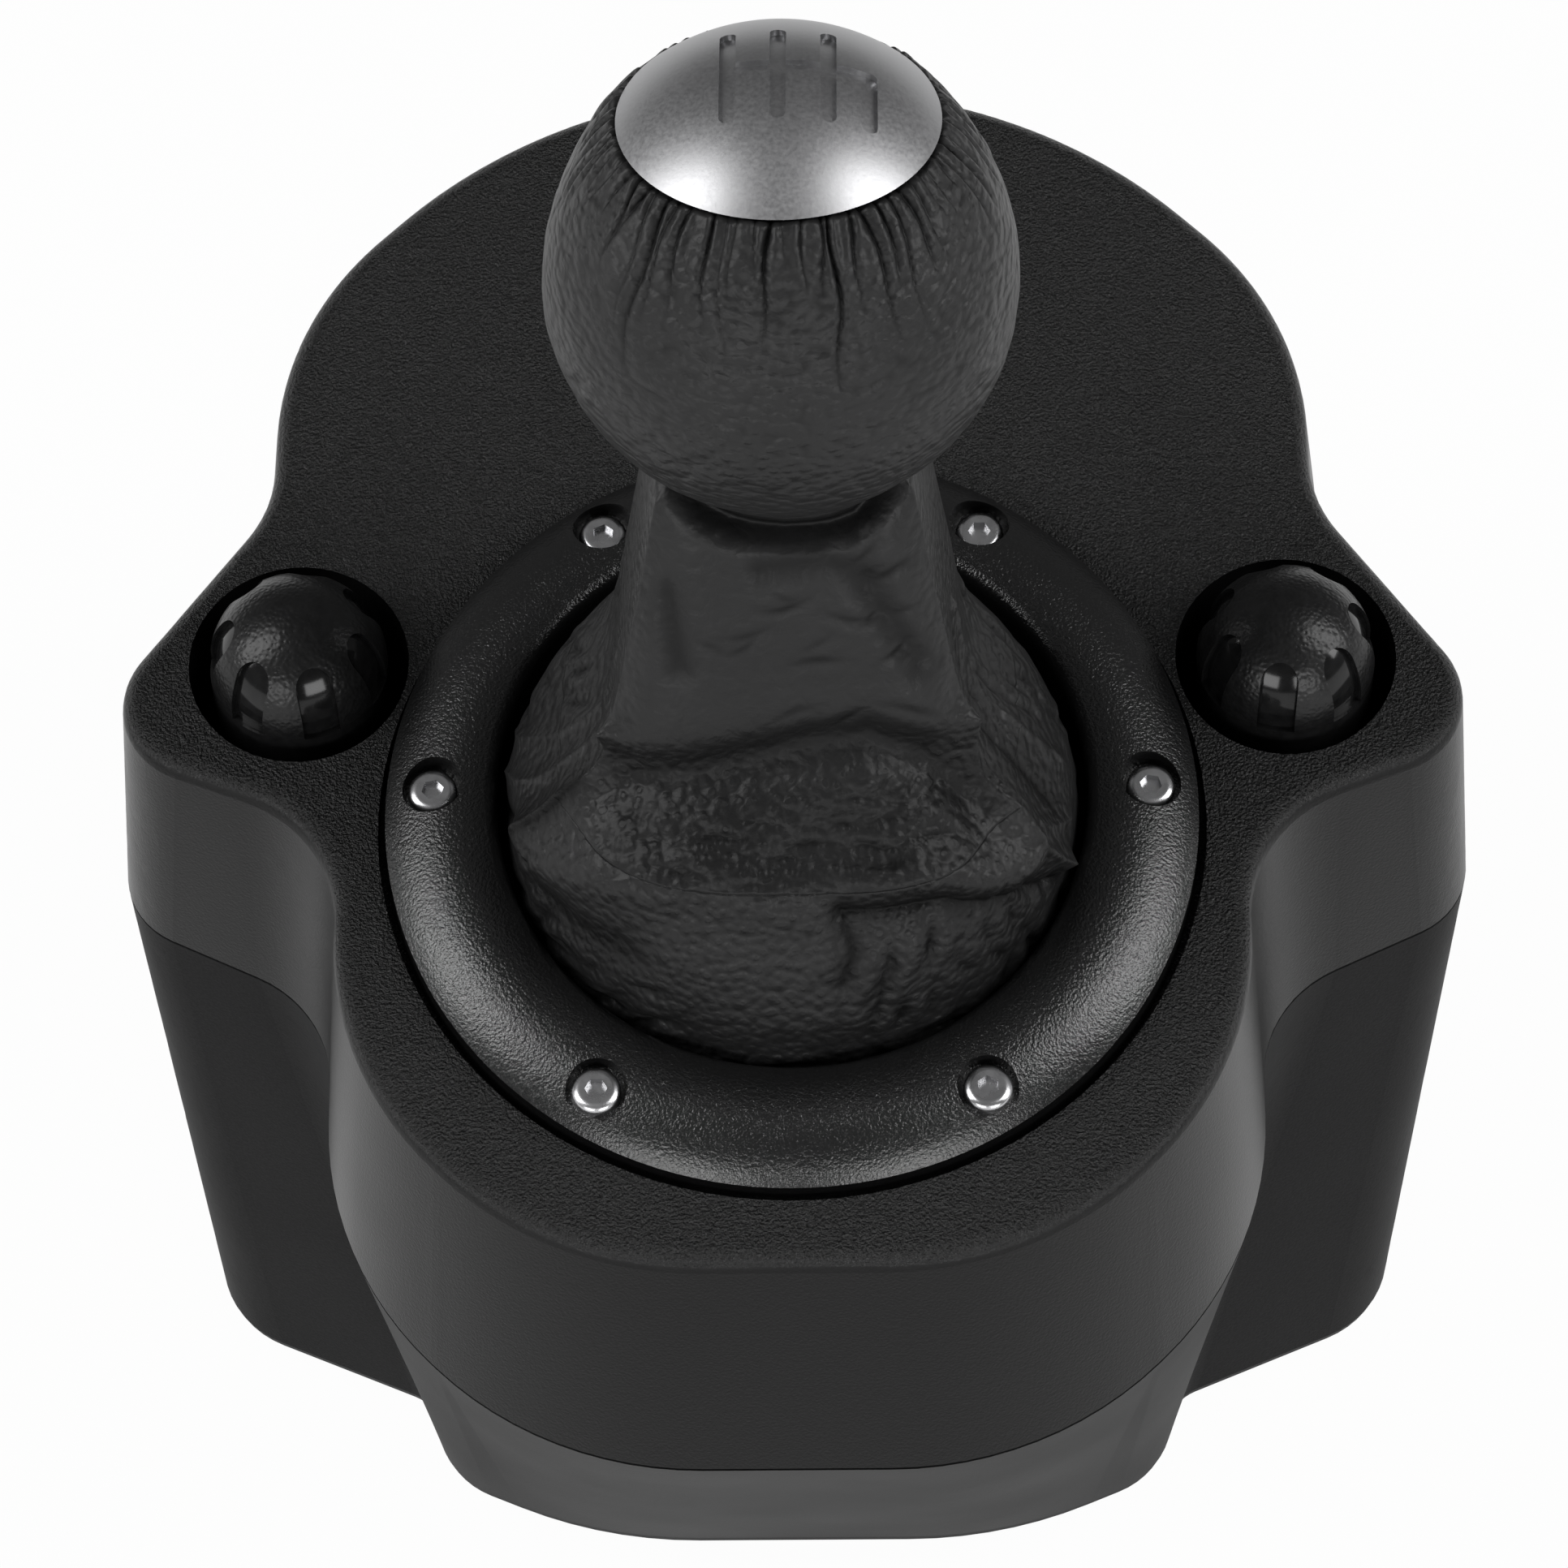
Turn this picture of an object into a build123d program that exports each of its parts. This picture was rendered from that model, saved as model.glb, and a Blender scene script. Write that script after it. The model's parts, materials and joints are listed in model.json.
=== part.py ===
from build123d import *
import math
import os

# Gear shifter for a racing simulator, in millimetres.
# +Z is up, +Y points away from the driver, and the origin is on the table under the middle of the case.

# Case
ring_height = 112.0
case_tilt = 6.5
shell_drop = 34.0
foot_height = 2.5
front_reach = 53.3
rear_reach = 100.0
wall = 2.5
roof = 2.5
top_rounding = 2.2
base_rounding = 2.4
rounding_steps = 3
seam_gap = 0.5
lip_height = 2.5
lip_depth = 2.0
lip_thickness = 1.5
lip_clearance = 0.8
overrun = 6.0
running_clearance = 0.05
loose_clearance = 0.3

# Half outlines of the case, from the rear round the ear to the front. Each corner is its distance from the
# middle plane and its share of the rear reach, or of the front reach where it is negative.
top_outline = [(25.3, 0.9), (53.8, 0.614), (54.3, 0.383), (74.3, 0.11), (46.5, 0.003)]
top_outline += [(46.5, -0.502), (24.3, -0.92)]
top_radii = [56.0, 35.0, 15.0, 9.0, 15.0, 37.0, 37.0]
seam_outline = [(26.0, 0.965), (58.0, 0.645), (58.0, 0.41), (75.6, 0.12), (49.3, -0.01)]
seam_outline += [(49.3, -0.56), (25.9, -1.0)]
seam_radii = [58.0, 37.0, 13.0, 9.0, 14.0, 39.0, 39.0]
base_outline = [(24.5, 1.0), (57.0, 0.675), (57.0, 0.44), (70.2, 0.05), (42.4, -0.14)]
base_outline += [(40.8, -0.32), (22.5, -0.473)]
base_radii = [50.0, 36.0, 13.0, 12.0, 5.0, 10.2, 50.0]

# Bezel ring
ring_radius = 41.4
ring_inner = 30.0
ring_inner_shift = 1.0
ring_crest_radius = 34.0
ring_crest_rise = 5.9
ring_edge_rise = 2.6
ring_slope = 2.0
ring_groove = 0.9
recess_depth = 3.0
recess_seat = 2.5
ring_lip_rounding = 1.6
opening_radius = 33.0
bezel_screw_places = [(19.5, 31.6), (36.5, 1.8), (19.5, -31.9)]
bezel_screw_turn = 24.0
bezel_pocket_radius = 3.1
bezel_seat_rise = 3.0
bezel_boss_radius = 3.4
bezel_boss_depth = 5.0

# Screws
head_radius = 2.5
head_height = 1.4
socket_radius = 1.15
socket_depth = 0.8
shank_radius = 1.25
bezel_shank_length = 11.0
case_screw_length = 9.0
base_shank_length = 8.0
frame_shank_length = 6.0
gate_shank_length = 7.0

# Clamps
clamp_x = 51.0
clamp_y = 18.8
well_radius = 11.4
well_depth = 20.0
well_wall = 1.5
well_floor = 3.0
clamp_knob_radius = 9.2
clamp_knob_rise = 9.6
clamp_knob_gap = 1.0
window_count = 7
window_turns = [-9.0, 18.0]
window_width = 3.9
window_rise = 6.9
window_drop = 1.0
window_depth = 0.7
hub_radius = 6.0
hub_length = 30.0
screw_radius = 4.0
screw_top_cover = 5.0
clamp_travel = 44.0
bush_radius = 8.0
retaining_thickness = 1.2
retaining_width = 1.6
groove_depth = 0.6
jaw_floor_gap = 1.2
jaw_thickness = 4.5
jaw_hub_radius = 8.0
jaw_arm_x = 46.5
jaw_arm_width = 12.0
jaw_arm_end = 42.0
pad_radius = 5.5
pad_thickness = 2.0
pad_y = 35.5
pad_groove_depth = 0.6
pad_groove_width = 1.2
tunnel_clearance = 0.7
tunnel_wall = 1.3
guide_radius = 2.5
guide_length = 58.0
guide_x = 45.5
guide_y = 25.0
guide_boss_radius = 4.5
guide_boss_height = 10.0

# Base
base_thickness = 3.0
base_gap = 0.25
ledge_thickness = 2.5
ledge_width = 6.5
ledge_gap = 0.3
base_boss_radius = 3.4
base_boss_height = 8.0
base_screw_places = [(20.0, 91.0), (49.5, 60.0), (13.0, -16.5)]
head_recess = 1.6
case_post_radius = 3.9
case_post_places = [(42.0, 55.0), (39.5, -10.0)]
case_tab_drop = 6.0
case_tab_thickness = 3.0
case_tab_size = 11.0
foot_radius = 4.0
foot_places = [(50.3, 3.4), (38.0, 84.0)]
foot_rounding = 0.8
ballast_thickness = 4.0
ballast_width = 72.0
ballast_front = -12.0
ballast_rear = 78.0
ballast_corner = 6.0
insert_x = 25.0
insert_y = 58.0
insert_radius = 4.0
insert_bore = 2.5
insert_length = 9.0
insert_boss_radius = 6.0

# Lever and its pivot
lever_lean = 13.0
pivot_height = 46.0
ring_cross = -4.7
ball_reach = 143.3
fore_aft_swing = 10.0
side_swing = 10.5
tube_radius = 3.0
tube_bore = 1.8
tube_drop = 29.0
rod_foot = 9.0
rod_floor_gap = 1.5
block_width = 16.0
block_depth = 16.0
block_low = 7.0
block_high = 9.0
yoke_inner_width = 24.0
yoke_inner_depth = 27.0
yoke_wall_x = 5.0
yoke_wall_y = 3.0
yoke_half_height = 6.0
yoke_boss_radius = 6.0
cheek_inner = 27.0
cheek_thickness = 4.0
yoke_cheek_gap = 1.0
side_pin_radius = 2.0
side_pin_grip = 3.0
trunnion_radius = 3.0
trunnion_grip = 4.0
trunnion_tail = 5.0
pivot_bush_wall = 2.0
pivot_bush_overhang = 0.5
spring_wire = 1.0
spring_turns = 3
spring_radius = 4.0
spring_leg = 5.0
sensor_size = 12.0
sensor_thickness = 6.0
side_sensor_size = 11.0
side_sensor_thickness = 6.0

# Frame and gate
gate_drop = 18.7
gate_thickness = 2.5
gate_half_depth = 17.0
gate_slot_half = 3.7
gate_end_clearance = 0.6
cheek_top_half = 17.0
cheek_pivot_half = 9.5
frame_plate_thickness = 3.0
frame_front = 11.0
frame_rear = 24.0
tongue_front = 20.0
tongue_half_width = 7.0
tongue_lap = 6.0
gate_screw_x = 29.0
gate_screw_y = 12.5
gate_flange_width = 6.0
frame_screw_x = 24.0
frame_screw_y = [-5.0, 19.0]

# Detent
plunger_radius = 2.5
plunger_reach = 16.0
plunger_length = 8.0
plunger_lift = 1.2
sleeve_radius = 4.5
sleeve_reach = 12.0
detent_spring_top = 3.5
detent_wire = 0.5
detent_turns = 5
dish_clearance = 0.3
dish_half = 6.5
dish_rim = 15.0
dish_thickness = 6.5
dimple_radius = 2.9
dimple_depth = 0.6

# Reverse switch
press_travel = 5.0
flag_half_thickness = 0.6
flag_reach = 9.0
flag_low = 17.0
flag_height = 4.0
flag_slot_clearance = 0.3
fork_near = 5.5
fork_length = 5.0
fork_half_width = 4.0
fork_slot_half = 1.5
fork_height = 7.0
fork_floor = 1.5

# Knob
ball_radius = 22.5
ball_crown = 25.1
leather_thickness = 1.6
rim_height = 18.6
ball_foot_radius = 8.0
cap_rise = 6.3
cap_thickness = 1.4
cap_plug_radius = 9.0
cap_plug_depth = 3.0
pattern_column = 4.65
pattern_reverse = 8.4
pattern_length = 13.4
pattern_width = 1.5
pattern_depth = 0.6
insert_low = 14.0
insert_high = 0.0
knob_insert_radius = 4.0
neck_radius = 5.6
neck_bore = 4.3
neck_drop = 30.0
neck_cavity_drop = 19.0
return_wire = 0.7
return_turns = 5
return_radius = 3.2

# Boot
collar_height = 17.6
collar_floor = 5.0
collar_half = 11.4
collar_corner = 6.0
collar_bore = 9.6
collar_drop = 25.7
boot_wall = 1.2
boot_foot_depth = 3.0
boot_frame_width = 2.4
boot_top_gap = 0.3
boot_level_shares = [0.08, 0.15, 0.23, 0.33, 0.45, 0.59, 0.75, 1.0]
boot_foot_gap = 0.3
boot_round_share = 0.98
boot_halves = [28.8, 26.2, 23.2, 19.8, 17.2, 15.2, 13.8, 12.7]
boot_corners = [27.0, 22.0, 16.0, 11.0, 9.0, 8.0, 7.0, 7.0]
boot_lean_shares = [0.1, 0.3, 0.5, 0.7, 0.85, 0.95, 1.0, 1.0]
boot_shift_shares = [0.9, 0.7, 0.5, 0.3, 0.15, 0.05, 0.0, 0.0]

# Electronics
board_width = 56.0
board_depth = 30.0
board_thickness = 1.6
board_middle = 42.0
board_rise = 8.0
board_post_radius = 2.5
board_post_inset = 4.0
chip_sizes = [(10.0, 10.0, 1.6), (6.0, 5.0, 1.4), (14.0, 6.0, 6.0)]
chip_places = [(-12.0, 2.0), (6.0, 6.0), (16.0, -8.0)]
gland_radius = 5.0
gland_height = 24.0
gland_flange = 7.5
gland_length = 9.0
gland_bore = 2.2
gland_flange_thickness = 1.5

# Worked out from the sizes above
tilt_rise = math.tan(math.radians(case_tilt))
tilt_cos = math.cos(math.radians(case_tilt))
lean_rise = math.tan(math.radians(lever_lean))
ring_y = (front_reach * tilt_cos - rear_reach) / 2
pivot_y = ring_y + ring_cross - (ring_height - pivot_height) * lean_rise
tilted_up = (0, -math.sin(math.radians(case_tilt)), tilt_cos)
ring_level = (ring_height - pivot_height) / math.cos(math.radians(lever_lean))
gate_height = ring_level - gate_drop
tube_top = ball_reach - tube_drop
neck_low = ball_reach - neck_drop
neck_cavity_top = ball_reach - neck_cavity_drop
collar_top = ball_reach - collar_drop
collar_low = collar_top - collar_height
boot_top = collar_top - boot_top_gap
rim_radius = ball_radius * math.sqrt(1 - (rim_height / ball_crown) ** 2)
lever_up = (0, math.sin(math.radians(lever_lean)), math.cos(math.radians(lever_lean)))
ring_frame = Plane(origin=(0, ring_y, ring_height), x_dir=(1, 0, 0), z_dir=tilted_up)
seam_frame = Plane(origin=(0, ring_y, ring_height - shell_drop), x_dir=(1, 0, 0), z_dir=tilted_up)
base_frame = Plane(origin=(0, ring_y, foot_height), x_dir=(1, 0, 0), z_dir=(0, 0, 1))
lever_frame = Plane(origin=(0, pivot_y, pivot_height), x_dir=(1, 0, 0), z_dir=lever_up)
ball_frame = lever_frame * Location((0, 0, ball_reach))
base_top = foot_height + base_thickness
ballast_top = base_top + ballast_thickness
well_top = ring_height + clamp_y * tilt_rise
well_bottom = well_top - well_depth
sides = [1, -1]
shaft_along_x = Rotation(0, 90, 0)
shaft_along_y = Rotation(90, 0, 0)


def post(radius, low, high, x=0, y=0):
    """Upright round post between two heights."""
    return Pos(x, y, (low + high) / 2) * Cylinder(radius, high - low)


def slab(x_low, x_high, y_low, y_high, z_low, z_high):
    """Box between two corners."""
    middle = ((x_low + x_high) / 2, (y_low + y_high) / 2, (z_low + z_high) / 2)
    return Pos(*middle) * Box(x_high - x_low, y_high - y_low, z_high - z_low)


def inset_corners(corners, radii, inset):
    """Move a clockwise rounded polygon inwards by the same distance all round."""
    moved = []
    rounded = []
    for index, corner in enumerate(corners):
        here = Vector(*corner)
        way_in = (here - Vector(*corners[index - 1])).normalized()
        way_out = (Vector(*corners[(index + 1) % len(corners)]) - here).normalized()
        normals = Vector(way_in.Y + way_out.Y, -way_in.X - way_out.X)
        place = here + normals * (inset / (1 + way_in.dot(way_out)))
        turns_inwards = way_in.cross(way_out).Z < 0
        moved.append((place.X, place.Y))
        rounded.append(radii[index] - inset if turns_inwards else radii[index] + inset)
    return moved, rounded


def outline_face(half_outline, half_radii, inset=0):
    """Face of one case outline, mirrored in the middle plane and moved inwards."""
    half_corners = [(x, share * (rear_reach if share > 0 else front_reach)) for x, share in half_outline]
    mirrored = [(-x, y) for x, y in reversed(half_corners)]
    corners = half_corners + mirrored
    radii = half_radii + list(reversed(half_radii))
    corners, radii = inset_corners(corners, radii, inset)
    return make_face(FilletPolyline(*corners, radius=radii, close=True).edges())


def top_face(inset=0, lower=0):
    return ring_frame * Pos(0, 0, -lower) * outline_face(top_outline, top_radii, inset)


def seam_face(inset=0, lower=0):
    return seam_frame * Pos(0, 0, -lower) * outline_face(seam_outline, seam_radii, inset)


def bottom_face(inset=0, higher=0):
    return base_frame * Pos(0, 0, higher) * outline_face(base_outline, base_radii, inset)


def rounded_foot():
    """Sections of the case's lower edge, from its full outline down to the flat underside."""
    sections = []
    for step in range(rounding_steps + 1):
        angle = math.pi / 2 * step / rounding_steps
        inset = base_rounding * (1 - math.cos(angle))
        sections.append(bottom_face(inset, base_rounding * (1 - math.sin(angle))))
    return sections


def screw(length):
    """Button head screw with a hex socket: the head's seat is at the origin and the shank points down."""
    head = Cylinder(head_radius, head_height, align=(Align.CENTER, Align.CENTER, Align.MIN))
    head = fillet(head.edges().sort_by(Axis.Z)[-1], head_height * 0.6)
    socket = extrude(Pos(0, 0, head_height - socket_depth) * RegularPolygon(socket_radius, 6), overrun)
    return head - socket + post(shank_radius, -length, 0)


def lever_point(along_y, along_z):
    """World y and z of a point in the lever's own frame."""
    place = lever_frame.from_local_coords((0, along_y, along_z))
    return place.Y, place.Z


def coil(pitch, turns, radius, wire):
    """Wound wire along +Z from the origin."""
    path = Helix(pitch, pitch * turns, radius)
    section = Plane(origin=path @ 0, z_dir=path % 0) * Circle(wire / 2)
    return sweep(section, path=path)


def clamp_spot(side):
    return side * clamp_x, ring_y + clamp_y


def mirrored_spots(places):
    return [(side * x, y) for x, y in places for side in sides]


# Casings

def make_upper_housing():
    outer = loft([top_face(), seam_face()], ruled=True)
    outer = fillet(outer.faces().sort_by(Axis.Z)[-1].edges(), top_rounding)
    inner = loft([top_face(wall, roof), seam_face(wall)], ruled=True)
    body = outer - inner
    seat_depth = recess_depth + recess_seat
    seat_radius = ring_radius + ring_groove + wall
    seat = ring_frame * post(seat_radius, -seat_depth, -roof / 2)
    bosses = []
    for x, y in mirrored_spots(bezel_screw_places):
        bosses.append(ring_frame * post(bezel_boss_radius, -seat_depth - bezel_boss_depth, -recess_depth, x, y))
    for x, y in mirrored_spots(case_post_places):
        bosses.append(ring_frame * post(case_post_radius, -shell_drop - case_tab_drop, -roof / 2, x, y))
    for side in sides:
        x, y = clamp_spot(side)
        bosses.append(post(well_radius + well_wall, well_bottom - well_floor, well_top, x, y))
    case_space = loft([top_face(wall / 2, roof / 2), seam_face(wall / 2)], ruled=True)
    below = seam_face(wall / 2)
    case_space += extrude(below, -shell_drop)
    for boss in [seat] + bosses:
        body += boss & case_space
    bezel_tip = bezel_seat_rise - bezel_shank_length
    cuts = [ring_frame * post(ring_radius + ring_groove, -recess_depth, overrun)]
    cuts.append(ring_frame * post(opening_radius, -seat_depth - overrun, overrun, 0, ring_inner_shift))
    for x, y in mirrored_spots(bezel_screw_places):
        cuts.append(ring_frame * post(shank_radius, bezel_tip - loose_clearance, overrun, x, y))
    for x, y in mirrored_spots(case_post_places):
        tab_top = -shell_drop - case_tab_drop
        cuts.append(ring_frame * post(shank_radius, tab_top - overrun, tab_top + case_screw_length, x, y))
    for side in sides:
        x, y = clamp_spot(side)
        cuts.append(post(well_radius, well_bottom, well_top + overrun, x, y))
        cuts.append(post(bush_radius, well_bottom - well_floor - overrun, well_bottom + overrun, x, y))
    return body - cuts


def make_lower_housing():
    outer = loft([seam_face(0, seam_gap)] + rounded_foot(), ruled=True)
    inner = loft([seam_face(wall, seam_gap), bottom_face(wall)], ruled=True)
    body = outer - inner
    lip_out = wall + lip_clearance
    lip_in = lip_out + lip_thickness
    rim = extrude(seam_face(wall / 2, lip_depth), lip_depth)
    rim += extrude(seam_face(lip_out, lip_depth), lip_depth + lip_height)
    body += rim - extrude(seam_face(lip_in, 2 * lip_depth), 3 * lip_depth + lip_height)
    ledge_low = base_thickness + ledge_gap
    ledge = extrude(bottom_face(wall / 2, ledge_low), ledge_thickness)
    body += ledge - extrude(bottom_face(wall + ledge_width), overrun + ledge_low)
    inside = loft([seam_face(wall / 2, seam_gap), bottom_face(wall / 2)], ruled=True)
    for x, y in mirrored_spots(base_screw_places):
        low = foot_height + ledge_low
        body += post(base_boss_radius, low, low + ledge_thickness + base_boss_height, x, ring_y + y) & inside
    for x, y in mirrored_spots(case_post_places):
        side = 1 if x > 0 else -1
        tab_low = -shell_drop - case_tab_drop - case_tab_thickness
        tab = slab(-case_post_radius, case_tab_size, -case_tab_size / 2, case_tab_size / 2, 0, case_tab_thickness)
        tab = ring_frame * Pos(x, y, tab_low) * Rotation(0, 0, 0 if side > 0 else 180) * tab
        body += tab & inside
        body -= ring_frame * post(shank_radius + loose_clearance, tab_low - overrun, tab_low + overrun, x, y)
    for x, y in mirrored_spots(base_screw_places):
        high = base_top + base_shank_length - head_recess + loose_clearance
        body -= post(shank_radius, foot_height, high, x, ring_y + y)
    for side in sides:
        body -= tunnel_box(side, tunnel_wall + loose_clearance, foot_height)
    body -= gland_hole(gland_radius)
    return body


def jaw_outline(grow):
    """Plan of one jaw on the right side: a round end at the screw and an arm that reaches to the rear."""
    hub = Pos(clamp_x, ring_y + clamp_y) * Circle(jaw_hub_radius + grow)
    arm_length = jaw_arm_end - clamp_y + grow
    arm = Pos(jaw_arm_x, ring_y + clamp_y + arm_length / 2) * Rectangle(jaw_arm_width + 2 * grow, arm_length)
    return hub + arm


def on_side(shape, side):
    return shape if side > 0 else mirror(shape, Plane.YZ)


def jaw_top():
    return jaw_floor_gap + jaw_thickness + pad_thickness


def tunnel_box(side, grow, low):
    """Space that one jaw draws back into, with its walls where it is grown."""
    high = jaw_top() + loose_clearance + grow
    block = extrude(Pos(0, 0, low) * jaw_outline(tunnel_clearance + grow), high - low)
    return on_side(block, side)


def make_base_plate():
    plate = extrude(bottom_face(wall + base_gap), base_thickness)
    for side in sides:
        plate += tunnel_box(side, tunnel_wall, foot_height)
        boss_top = jaw_top() + guide_boss_height
        plate += post(guide_boss_radius, base_top, boss_top, side * guide_x, ring_y + guide_y)
        plate += post(insert_boss_radius, base_top, ballast_top + loose_clearance, side * insert_x, ring_y + insert_y)
    for x, y in board_post_spots():
        plate += post(board_post_radius, base_top, ballast_top + board_rise, x, y)
    plate &= extrude(bottom_face(wall + base_gap), ring_height)
    for side in sides:
        plate -= tunnel_box(side, 0, -overrun)
        x, y = clamp_spot(side)
        plate -= post(screw_radius + loose_clearance, 0, ring_height, x, y)
        plate -= post(guide_radius + running_clearance, 0, ring_height / 2, side * guide_x, ring_y + guide_y)
        plate -= post(insert_radius, 0, ring_height / 2, side * insert_x, ring_y + insert_y)
    for x, y in mirrored_spots(base_screw_places):
        plate -= post(shank_radius + loose_clearance, 0, overrun + base_top, x, ring_y + y)
        plate -= post(head_radius + loose_clearance, 0, foot_height + head_recess, x, ring_y + y)
    return plate


def make_ballast_plate():
    """Steel plate that clears the ledge and everything that stands on the base plate."""
    middle = (ballast_front + ballast_rear) / 2
    plan = RectangleRounded(ballast_width, ballast_rear - ballast_front, ballast_corner)
    plate = extrude(Pos(0, ring_y + middle, base_top) * plan, ballast_thickness)
    plate &= extrude(bottom_face(wall + ledge_width + loose_clearance), ring_height)
    for side in sides:
        plate -= post(insert_boss_radius + loose_clearance, 0, ring_height, side * insert_x, ring_y + insert_y)
        plate -= post(guide_boss_radius + loose_clearance, 0, ring_height, side * guide_x, ring_y + guide_y)
        plate -= tunnel_box(side, tunnel_wall + loose_clearance, 0)
        for y in frame_screw_y:
            plate -= post(shank_radius, 0, ring_height, side * frame_screw_x, ring_y + y)
    for x, y in board_post_spots():
        plate -= post(board_post_radius + loose_clearance, 0, ring_height, x, y)
    return plate


def board_post_spots():
    spots = []
    for side in sides:
        for end in sides:
            x = side * (board_width / 2 - board_post_inset)
            y = ring_y + board_middle + end * (board_depth / 2 - board_post_inset)
            spots.append((x, y))
    return spots


# Bezel

def ring_blank():
    """Disc with the bezel's rounded top, before its opening is cut."""
    across = ring_radius - ring_crest_radius
    low = -recess_depth - overrun
    inner = (ring_crest_radius - across, ring_edge_rise)
    crest = (ring_crest_radius, ring_crest_rise)
    outer = (ring_radius, ring_edge_rise)
    arc = ThreePointArc(inner, crest, outer)
    close = Polyline(outer, (ring_radius, low), (0, low), (0, ring_edge_rise), inner)
    return revolve(Plane.XZ * make_face([*arc.edges(), *close.edges()]), Axis.Z)


def make_bezel_ring():
    ring = Rotation(ring_slope, 0, 0) * ring_blank()
    ring &= post(2 * ring_radius, -recess_depth, ring_radius)
    ring -= post(ring_inner, -ring_radius, ring_radius, 0, ring_inner_shift)
    rims = ring.edges().filter_by(lambda edge: edge.center().Z > 0)
    rims = rims.filter_by(lambda edge: abs(edge.length / math.tau - ring_inner) < ring_lip_rounding)
    ring = fillet(rims, ring_lip_rounding)
    for x, y in mirrored_spots(bezel_screw_places):
        ring -= post(bezel_pocket_radius, bezel_seat_rise, ring_radius, x, y)
        ring -= post(shank_radius + loose_clearance, -ring_radius, ring_radius, x, y)
    return ring_frame * ring


def make_bezel_screws():
    turn = 0
    screws = []
    for x, y in mirrored_spots(bezel_screw_places):
        screws.append(ring_frame * Pos(x, y, bezel_seat_rise) * Rotation(0, 0, turn) * screw(bezel_shank_length))
        turn += bezel_screw_turn
    return screws


def make_boot_frame():
    outer = post(ring_inner + boot_frame_width, -recess_depth - boot_foot_depth, -recess_depth, 0, ring_inner_shift)
    inner = post(ring_inner, -recess_depth - 2 * boot_foot_depth, 0, 0, ring_inner_shift)
    return ring_frame * (outer - inner)


# Clamps

def domed_post(radius, low, top):
    """Upright post whose top is half a ball."""
    return post(radius, low, top - radius) + Pos(0, 0, top - radius) * Sphere(radius)


def make_clamp_knob(side):
    x, y = clamp_spot(side)
    top = well_top + clamp_knob_rise
    low = well_bottom + clamp_knob_gap
    knob = domed_post(clamp_knob_radius, low, top)
    core = domed_post(clamp_knob_radius - window_depth, low - overrun, top - window_depth)
    recess = finger_window(top - clamp_knob_radius) - core
    turn = window_turns[0] if side > 0 else window_turns[1]
    for index in range(window_count):
        knob -= Rotation(0, 0, turn + 360 / window_count * index) * recess
    knob += post(hub_radius, low - hub_length, low)
    knob -= post(screw_radius + running_clearance, low - hub_length - overrun, top - screw_top_cover)
    ring_low = well_bottom - well_floor - loose_clearance - retaining_thickness
    groove = post(hub_radius + overrun, ring_low, ring_low + retaining_thickness)
    groove -= post(hub_radius - groove_depth, ring_low - overrun, ring_low + overrun)
    return Pos(x, y, 0) * (knob - groove)


def finger_window(middle):
    """Prism of one finger window with a round top and a flat foot, on the driver's side of a knob."""
    straight = window_rise - window_width / 2
    plan = Pos(0, middle + straight) * Circle(window_width / 2)
    plan += Pos(0, middle + (straight - window_drop) / 2) * Rectangle(window_width, straight + window_drop)
    return extrude(Plane.XZ * plan, clamp_knob_radius + overrun)


def make_retaining_rings(side):
    x, y = clamp_spot(side)
    low = well_bottom - well_floor - loose_clearance - retaining_thickness
    ring = post(hub_radius + retaining_width, low, low + retaining_thickness, x, y)
    return ring - post(hub_radius - groove_depth, low - overrun, low + overrun, x, y)


def make_clamp_bush(side):
    x, y = clamp_spot(side)
    bush = post(bush_radius, well_bottom - well_floor, well_bottom, x, y)
    return bush - post(hub_radius + running_clearance, 0, ring_height, x, y)


def screw_top():
    return well_top + clamp_knob_rise - screw_top_cover - loose_clearance


def make_clamp_screw(side):
    x, y = clamp_spot(side)
    return post(screw_radius, jaw_floor_gap, screw_top(), x, y)


def make_clamp_guide(side):
    x, y = side * guide_x, ring_y + guide_y
    return post(guide_radius, jaw_floor_gap, jaw_floor_gap + guide_length, x, y)


def make_clamp_jaw(side):
    jaw = extrude(Pos(0, 0, jaw_floor_gap) * jaw_outline(0), jaw_thickness)
    jaw -= post(screw_radius, 0, ring_height, clamp_x, ring_y + clamp_y)
    jaw -= post(guide_radius, 0, ring_height, guide_x, ring_y + guide_y)
    return on_side(jaw, side)


def make_jaw_pad(side):
    low = jaw_floor_gap + jaw_thickness
    y = ring_y + pad_y
    pad = post(pad_radius, low, low + pad_thickness, jaw_arm_x, y)
    for shift in [-1, 0, 1]:
        middle = y + shift * pad_radius / 2
        groove_low = low + pad_thickness - pad_groove_depth
        pad -= slab(0, 2 * clamp_x, middle - pad_groove_width / 2, middle + pad_groove_width / 2,
                    groove_low, low + pad_thickness + overrun)
    return on_side(pad, side)


# Base hardware

def make_base_screws():
    screws = []
    for x, y in mirrored_spots(base_screw_places):
        screws.append(Pos(x, ring_y + y, foot_height + head_recess) * Rotation(180, 0, 0) * screw(base_shank_length))
    return screws


def make_case_screws():
    screws = []
    for x, y in mirrored_spots(case_post_places):
        low = -shell_drop - case_tab_drop - case_tab_thickness
        screws.append(ring_frame * Pos(x, y, low) * Rotation(180, 0, 0) * screw(case_screw_length))
    return screws


def make_rubber_feet():
    feet = []
    for x, y in mirrored_spots(foot_places):
        foot = post(foot_radius, 0, foot_height)
        foot = fillet(foot.edges().sort_by(Axis.Z)[0], foot_rounding)
        feet.append(Pos(x, ring_y + y, 0) * foot)
    return feet


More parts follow.
